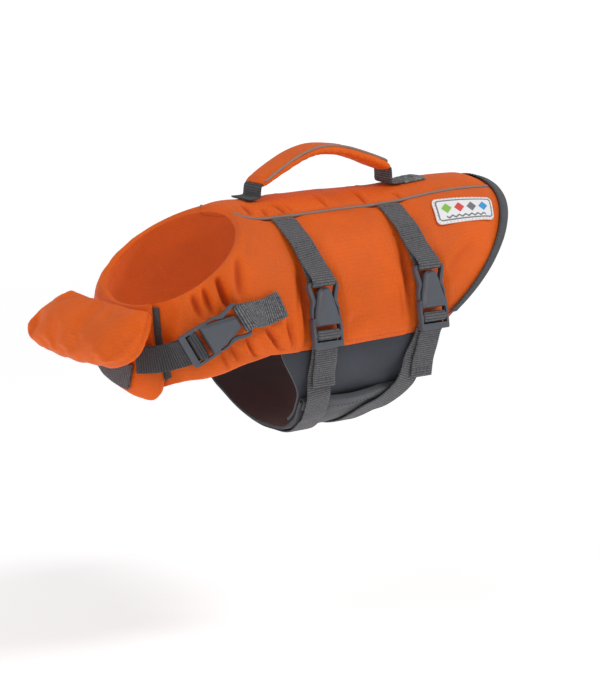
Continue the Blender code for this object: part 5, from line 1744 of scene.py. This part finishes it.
def binding_finish(colours, sizes):
    tape = Finish("grey binding", roughness=0.8, Sheen_Weight=0.15, Specular_IOR_Level=0.25)
    rib = tape.wave(tape.cloth_axes()[0], 0.0009)
    base = tuple(colours.binding)
    tone = tape.blend(plus(base, -0.35), plus(base, 0.20), rib)
    fleck = tape.math("MULTIPLY", tape.span(tape.noise(0.0012, 2.0), 0.4, 0.7), 0.4)
    tone = tape.blend(tone, plus(base, -0.35), fleck)
    tape.paint(tone)
    tape.relief(tape.total((rib, 0.8), (tape.noise(0.006), 0.4)), 0.0003, 0.9)
    return tape.material


def piping_finish(colours, sizes):
    cord = Finish("reflective piping", roughness=0.42, Metallic=0.15, Specular_IOR_Level=0.6)
    u, v = cord.cloth_axes()
    twill = cord.wave(cord.math("ADD", u, v), 0.0007)
    # the piping colour holds a painted reflection of the orange cloth on light grey cord
    base = tuple(colours.piping)
    uneven = cord.math("MULTIPLY", twill, cord.noise(0.004))
    cord.paint(cord.blend(plus(base, -0.25), plus(base, 0.15), uneven))
    cord.relief(twill, 0.00015, 0.6)
    return cord.material


def rough_finish(colours, sizes):
    tape = Finish("rough tape", roughness=0.95, Sheen_Weight=0.3, Specular_IOR_Level=0.15)
    base = tuple(colours.rough)
    speck = tape.noise(0.0013, 3.0, 0.7)
    tape.paint(tape.blend(plus(base, -0.6), plus(base, 0.7), tape.span(speck, 0.38, 0.64)))
    tape.relief(speck, 0.0018, 1.0)
    return tape.material


def plastic_finish(colours, sizes):
    plastic = Finish("grey plastic", Specular_IOR_Level=0.5)
    base = tuple(colours.plastic)
    grain = plastic.noise(0.0005, 2.0)
    cloud = plastic.noise(0.008, 3.0)
    plastic.paint(plastic.blend(plus(base, -0.12), plus(base, 0.15), cloud))
    plastic.roughen(cloud, 0.34, 0.46)
    plastic.relief(grain, 0.00006, 0.5)
    return plastic.material


def label_finish(colours, sizes):
    """White label with a grey line inside its edge, four coloured diamonds and a wave."""
    label = Finish("white label", Specular_IOR_Level=0.5)
    u, v = label.cloth_axes()
    bend = LABEL_CORNER * 0.6
    off = [label.math("SUBTRACT", label.math("ABSOLUTE", way), size / 2 - LABEL_LINE - bend)
           for way, size in zip((u, v), LABEL_SIZE)]
    squares = [label.math("POWER", label.math("MAXIMUM", each, 0.0), 2.0) for each in off]
    corner = label.math("SQRT", label.math("ADD", *squares))
    inside = label.math("MINIMUM", label.math("MAXIMUM", *off), 0.0)
    edge = label.math("SUBTRACT", label.math("ADD", corner, inside), bend)
    line = tuple(colours.label_line)
    on_line = label.span(label.math("ABSOLUTE", edge), 0.0003, 0.0007, 1.0, 0.0)
    tone = label.blend(tuple(colours.label), line, on_line)
    diamonds = ((-0.0138, tuple(colours.label_green)), (-0.0046, tuple(colours.label_red)),
                (0.0046, line), (0.0138, tuple(colours.label_blue)))
    for place, colour in diamonds:
        reach = label.math("ADD", label.math("ABSOLUTE", label.math("SUBTRACT", u, place)),
                           label.math("ABSOLUTE", label.math("ADD", v, 0.0014)))
        tone = label.blend(tone, colour, label.span(reach, 0.0036, 0.0040, 1.0, 0.0))
    sway = label.math("SINE", label.math("MULTIPLY", u, 2 * math.pi / 0.0048))
    swell = label.math("MULTIPLY", sway, 0.0006)
    wave = label.math("ABSOLUTE", label.math("SUBTRACT", label.math("SUBTRACT", v, 0.0050), swell))
    short = label.span(label.math("ABSOLUTE", u), 0.0150, 0.0152, 1.0, 0.0)
    on_wave = label.math("MULTIPLY", label.span(wave, 0.0005, 0.0008, 1.0, 0.0), short)
    tone = label.blend(tone, line, on_wave)
    label.paint(tone)
    label.roughen(label.noise(0.004), 0.42, 0.55)
    label.relief(label.noise(0.0008, 2.0), 0.0001, 0.5)
    return label.material


def thread_finish(name, colour):
    thread = Finish(name, roughness=0.65, Sheen_Weight=0.2, Specular_IOR_Level=0.3)
    uneven = thread.span(thread.noise(0.0009, 2.0), 0.3, 0.7)
    thread.paint(thread.blend(plus(colour, -0.25), plus(colour, 0.25), uneven))
    thread.relief(thread.noise(0.0002, 1.0), 0.00005, 0.6)
    return thread.material


# ---- stage -----------------------------------------------------------------------------------

VIEW_TURN = math.radians(54.0)
VIEW_RISE = math.radians(11.7)
VIEW_DISTANCE = 2.0
VIEW_PIXELS = 3200.0
PICTURE = (600, 681)
VIEW_MIDDLE = (262.0, 321.0)
VIEW_POINT = Vector((0.0, -0.040, -0.0695))


def view_axes():
    level = math.cos(VIEW_RISE)
    back = Vector((math.sin(VIEW_TURN) * level, -math.cos(VIEW_TURN) * level, math.sin(VIEW_RISE)))
    right = Vector((math.cos(VIEW_TURN), math.sin(VIEW_TURN), 0.0))
    return right, back.cross(right), back


def make_camera():
    right, up, back = view_axes()
    per_pixel = VIEW_DISTANCE / VIEW_PIXELS
    look = (VIEW_POINT + right * (PICTURE[0] / 2 - VIEW_MIDDLE[0]) * per_pixel
            - up * (PICTURE[1] / 2 - VIEW_MIDDLE[1]) * per_pixel)
    lens = bpy.data.cameras.new("view")
    lens.sensor_width = 36.0
    lens.lens = VIEW_PIXELS * lens.sensor_width / max(PICTURE)
    lens.clip_start = 0.05
    lens.clip_end = 60.0
    camera = bpy.data.objects.new("view", lens)
    camera.location = look + back * VIEW_DISTANCE
    camera.rotation_euler = back.to_track_quat("Z", "Y").to_euler()
    bpy.context.scene.collection.objects.link(camera)
    bpy.context.scene.camera = camera


def add_light(name, place, size, power):
    data = bpy.data.lights.new(name, "AREA")
    data.shape = "DISK"
    data.size = size
    data.energy = power
    light = bpy.data.objects.new(name, data)
    light.location = place
    light.rotation_euler = (place - VIEW_POINT).to_track_quat("Z", "Y").to_euler()
    bpy.context.scene.collection.objects.link(light)


def make_stage(sizes, colours):
    bpy.ops.object.select_all(action="DESELECT")
    bpy.ops.mesh.primitive_plane_add(size=16.0, location=(0.0, 0.0, -sizes.floor_drop))
    floor = bpy.context.active_object
    floor.name = "floor"
    bpy.ops.object.transform_apply(location=True, rotation=True, scale=True)
    ground = Finish("pale floor", roughness=0.85, Specular_IOR_Level=0.2)
    tint = tuple(colours.floor)
    ground.paint(ground.blend(plus(tint, -0.015), plus(tint, 0.015), ground.noise(0.6, 2.0)))
    ground.shader.inputs["Emission Color"].default_value = (1.0, 1.0, 1.0, 1.0)
    away = ground.node("VectorMath", operation="LENGTH")
    ground.feed(away.inputs[0], ground.body())
    glow = ground.span(away.outputs["Value"], 0.5, 2.6, 0.34, 0.62)
    ground.feed(ground.shader.inputs["Emission Strength"], glow)
    floor.data.materials.append(ground.material)
    world = bpy.data.worlds.new("soft white")
    world.use_nodes = True
    tree = world.node_tree
    soft, white = tree.nodes["Background"], tree.nodes.new("ShaderNodeBackground")
    for backdrop, strength in ((soft, 0.47), (white, 1.0)):
        backdrop.inputs["Color"].default_value = (1.0, 1.0, 1.0, 1.0)
        backdrop.inputs["Strength"].default_value = strength
    choice, ray = tree.nodes.new("ShaderNodeMixShader"), tree.nodes.new("ShaderNodeLightPath")
    for start, end in ((ray.outputs["Is Camera Ray"], choice.inputs[0]),
                       (soft.outputs[0], choice.inputs[1]), (white.outputs[0], choice.inputs[2]),
                       (choice.outputs[0], tree.nodes["World Output"].inputs["Surface"])):
        tree.links.new(start, end)
    bpy.context.scene.world = world
    bpy.context.scene.view_settings.view_transform = "Standard"
    right, up, back = view_axes()
    add_light("key", VIEW_POINT + right * 1.35 + up * 1.4 + back * 0.45, 0.45, 13.0)
    add_light("fill", VIEW_POINT - right * 1.55 + up * 1.0 + back * 1.35, 1.3, 12.0)
    make_camera()


# ---- the panel's settings --------------------------------------------------------------------

def size_setting(name, description, default, **more):
    return bpy.props.FloatProperty(name=name, description=description, default=default, min=0.0,
                                   unit="LENGTH", precision=5, **more)


def colour_setting(name, description, default):
    return bpy.props.FloatVectorProperty(name=name, description=description, default=default,
                                         size=3, min=0.0, max=1.0, subtype="COLOR")


class JacketSizes(bpy.types.PropertyGroup):
    ripstop_pitch: size_setting("Ripstop pitch",
                                "Distance between the ripstop cloth's thicker threads", 0.0025)
    rib_pitch: size_setting("Rib pitch", "Distance between the ribs across the webbing", 0.0015)
    floor_drop: size_setting("Floor drop", "How far the floor lies below the wearer's back", 0.27)


class JacketColours(bpy.types.PropertyGroup):
    orange: colour_setting("Orange", "Ripstop cloth of the panels, grip and chin float",
                           (0.80, 0.120, 0.004))
    slate: colour_setting("Slate", "Cloth of the skirt", (0.032, 0.037, 0.052))
    # painted shade: the belly's cloth is the skirt's slate made darker, for the shade under the
    # belly
    belly: colour_setting("Belly", "Cloth of the belly panel", (0.018, 0.021, 0.029))
    webbing_dark: colour_setting("Webbing, dark yarn", "Darker yarn of the webbing",
                                 (0.055, 0.056, 0.062))
    webbing_light: colour_setting("Webbing, light yarn", "Lighter yarn of the webbing",
                                  (0.19, 0.185, 0.195))
    binding: colour_setting("Binding", "Folded tape on the panels' edges", (0.095, 0.10, 0.112))
    # painted reflection: the light grey cord is coloured warm, for the orange cloth it reflects
    piping: colour_setting("Piping", "Reflective piping on the seams", (0.34, 0.25, 0.21))
    rough: colour_setting("Rough tape", "Rough patch behind the handle", (0.20, 0.20, 0.205))
    plastic: colour_setting("Plastic", "Moulded buckles", (0.085, 0.092, 0.11))
    label: colour_setting("Label", "Ground of the label", (0.86, 0.86, 0.87))
    label_line: colour_setting("Label line", "Line inside the label's edge", (0.16, 0.16, 0.18))
    label_blue: colour_setting("Label blue", "One diamond on the label", (0.03, 0.30, 0.70))
    label_green: colour_setting("Label green", "One diamond on the label", (0.25, 0.52, 0.06))
    label_red: colour_setting("Label red", "One diamond on the label", (0.72, 0.045, 0.04))
    floor: colour_setting("Floor", "Floor under the jacket", (0.93, 0.93, 0.935))


FINISH_MAKERS = {
    "orange_cloth": ripstop_finish,
    "slate_cloth": lambda colours, sizes: slate_finish("slate cloth", tuple(colours.slate)),
    # the same slate finish in the darker belly colour, painted shade for the underside
    "shaded_belly_cloth": lambda colours, sizes: slate_finish("slate cloth with painted belly shade", tuple(colours.belly)),
    "grey_webbing": webbing_finish,
    "close_webbing": close_webbing_finish,
    "specked_webbing": specked_webbing_finish,
    "grey_binding": binding_finish,
    "reflective_piping": piping_finish,
    "rough_tape": rough_finish,
    "grey_plastic": plastic_finish,
    "white_patch": label_finish,
    "grey_thread": lambda colours, sizes: thread_finish(
        "grey thread", plus(colours.webbing_dark, -0.25)),
    "orange_thread": lambda colours, sizes: thread_finish(
        "orange thread", plus(colours.orange, -0.18)),
    "pale_thread": lambda colours, sizes: thread_finish(
        "pale thread", plus(colours.label, -0.35)),
}
MADE = {}


def finish_of(context, slot):
    """One of the finishes, made when it is first asked for."""
    if slot not in MADE:
        MADE[slot] = FINISH_MAKERS[slot](context.scene.jacket_colours, context.scene.jacket_sizes)
    return MADE[slot]


class JACKET_OT_flanks(bpy.types.Operator):
    """Make the two flank panels"""
    bl_idname = "jacket.flanks"
    bl_label = "Flanks"

    def execute(self, context):
        make_flanks(finish_of(context, "orange_cloth"))
        return {"FINISHED"}


class JACKET_OT_spine(bpy.types.Operator):
    """Make the spine panel"""
    bl_idname = "jacket.spine"
    bl_label = "Spine panel"

    def execute(self, context):
        make_spine_panel(finish_of(context, "orange_cloth"))
        return {"FINISHED"}


class JACKET_OT_slate(bpy.types.Operator):
    """Make the skirt and the belly panel"""
    bl_idname = "jacket.slate"
    bl_label = "Skirt and belly panel"

    def execute(self, context):
        make_slate_panels(finish_of(context, "slate_cloth"), finish_of(context, "shaded_belly_cloth"))
        return {"FINISHED"}


class JACKET_OT_edges(bpy.types.Operator):
    """Make the bindings and the piping"""
    bl_idname = "jacket.edges"
    bl_label = "Bindings and piping"

    def execute(self, context):
        make_bindings(finish_of(context, "grey_binding"))
        make_piping(finish_of(context, "reflective_piping"))
        return {"FINISHED"}


class JACKET_OT_straps(bpy.types.Operator):
    """Make the girth straps and the neck strap"""
    bl_idname = "jacket.straps"
    bl_label = "Straps"

    def execute(self, context):
        make_girth_straps(finish_of(context, "grey_webbing"))
        make_neck_strap(finish_of(context, "grey_webbing"), finish_of(context, "close_webbing"),
                        finish_of(context, "specked_webbing"), finish_of(context, "grey_binding"))
        return {"FINISHED"}


class JACKET_OT_handle(bpy.types.Operator):
    """Make the carrying handle"""
    bl_idname = "jacket.handle"
    bl_label = "Handle"

    def execute(self, context):
        make_handle(finish_of(context, "orange_cloth"), finish_of(context, "reflective_piping"),
                    finish_of(context, "close_webbing"), finish_of(context, "specked_webbing"))
        return {"FINISHED"}


class JACKET_OT_patches(bpy.types.Operator):
    """Make the label and the rough patch"""
    bl_idname = "jacket.patches"
    bl_label = "Patches"

    def execute(self, context):
        make_patches(finish_of(context, "white_patch"), finish_of(context, "rough_tape"))
        return {"FINISHED"}


class JACKET_OT_float(bpy.types.Operator):
    """Make the chin float"""
    bl_idname = "jacket.chin_float"
    bl_label = "Chin float"

    def execute(self, context):
        make_chin_float(finish_of(context, "orange_cloth"))
        return {"FINISHED"}


class JACKET_OT_buckles(bpy.types.Operator):
    """Make the side-release buckles"""
    bl_idname = "jacket.buckles"
    bl_label = "Buckles"

    def execute(self, context):
        make_buckles(finish_of(context, "grey_plastic"))
        return {"FINISHED"}


class JACKET_OT_stitches(bpy.types.Operator):
    """Sew the straps, bindings, flanks and label"""
    bl_idname = "jacket.stitches"
    bl_label = "Stitches"

    def execute(self, context):
        make_stitches(finish_of(context, "grey_thread"), finish_of(context, "orange_thread"),
                      finish_of(context, "pale_thread"))
        return {"FINISHED"}


class JACKET_OT_stage(bpy.types.Operator):
    """Set up the floor, the light and the camera"""
    bl_idname = "jacket.stage"
    bl_label = "Stage"

    def execute(self, context):
        make_stage(context.scene.jacket_sizes, context.scene.jacket_colours)
        return {"FINISHED"}


STEPS = (JACKET_OT_flanks, JACKET_OT_spine, JACKET_OT_slate, JACKET_OT_edges, JACKET_OT_straps,
         JACKET_OT_handle, JACKET_OT_patches, JACKET_OT_float, JACKET_OT_buckles,
         JACKET_OT_stitches, JACKET_OT_stage)


class JACKET_PT_steps(bpy.types.Panel):
    """Sizes, colours and steps of the life jacket"""
    bl_label = "Life jacket"
    bl_space_type = "VIEW_3D"
    bl_region_type = "UI"
    bl_category = "Jacket"

    def draw(self, context):
        for group in (context.scene.jacket_sizes, context.scene.jacket_colours):
            box = self.layout.box()
            for key in group.bl_rna.properties.keys():
                if key not in ("rna_type", "name"):
                    box.prop(group, key)
        for step in STEPS:
            self.layout.operator(step.bl_idname)


CLASSES = (JacketSizes, JacketColours) + STEPS + (JACKET_PT_steps,)


def register():
    for each in CLASSES:
        bpy.utils.register_class(each)
    bpy.types.Scene.jacket_sizes = bpy.props.PointerProperty(type=JacketSizes)
    bpy.types.Scene.jacket_colours = bpy.props.PointerProperty(type=JacketColours)


def unregister():
    del bpy.types.Scene.jacket_sizes
    del bpy.types.Scene.jacket_colours
    for each in reversed(CLASSES):
        bpy.utils.unregister_class(each)


def main():
    register()
    for step in STEPS:
        group, name = step.bl_idname.split(".")
        getattr(getattr(bpy.ops, group), name)()


if __name__ == "__main__":
    main()
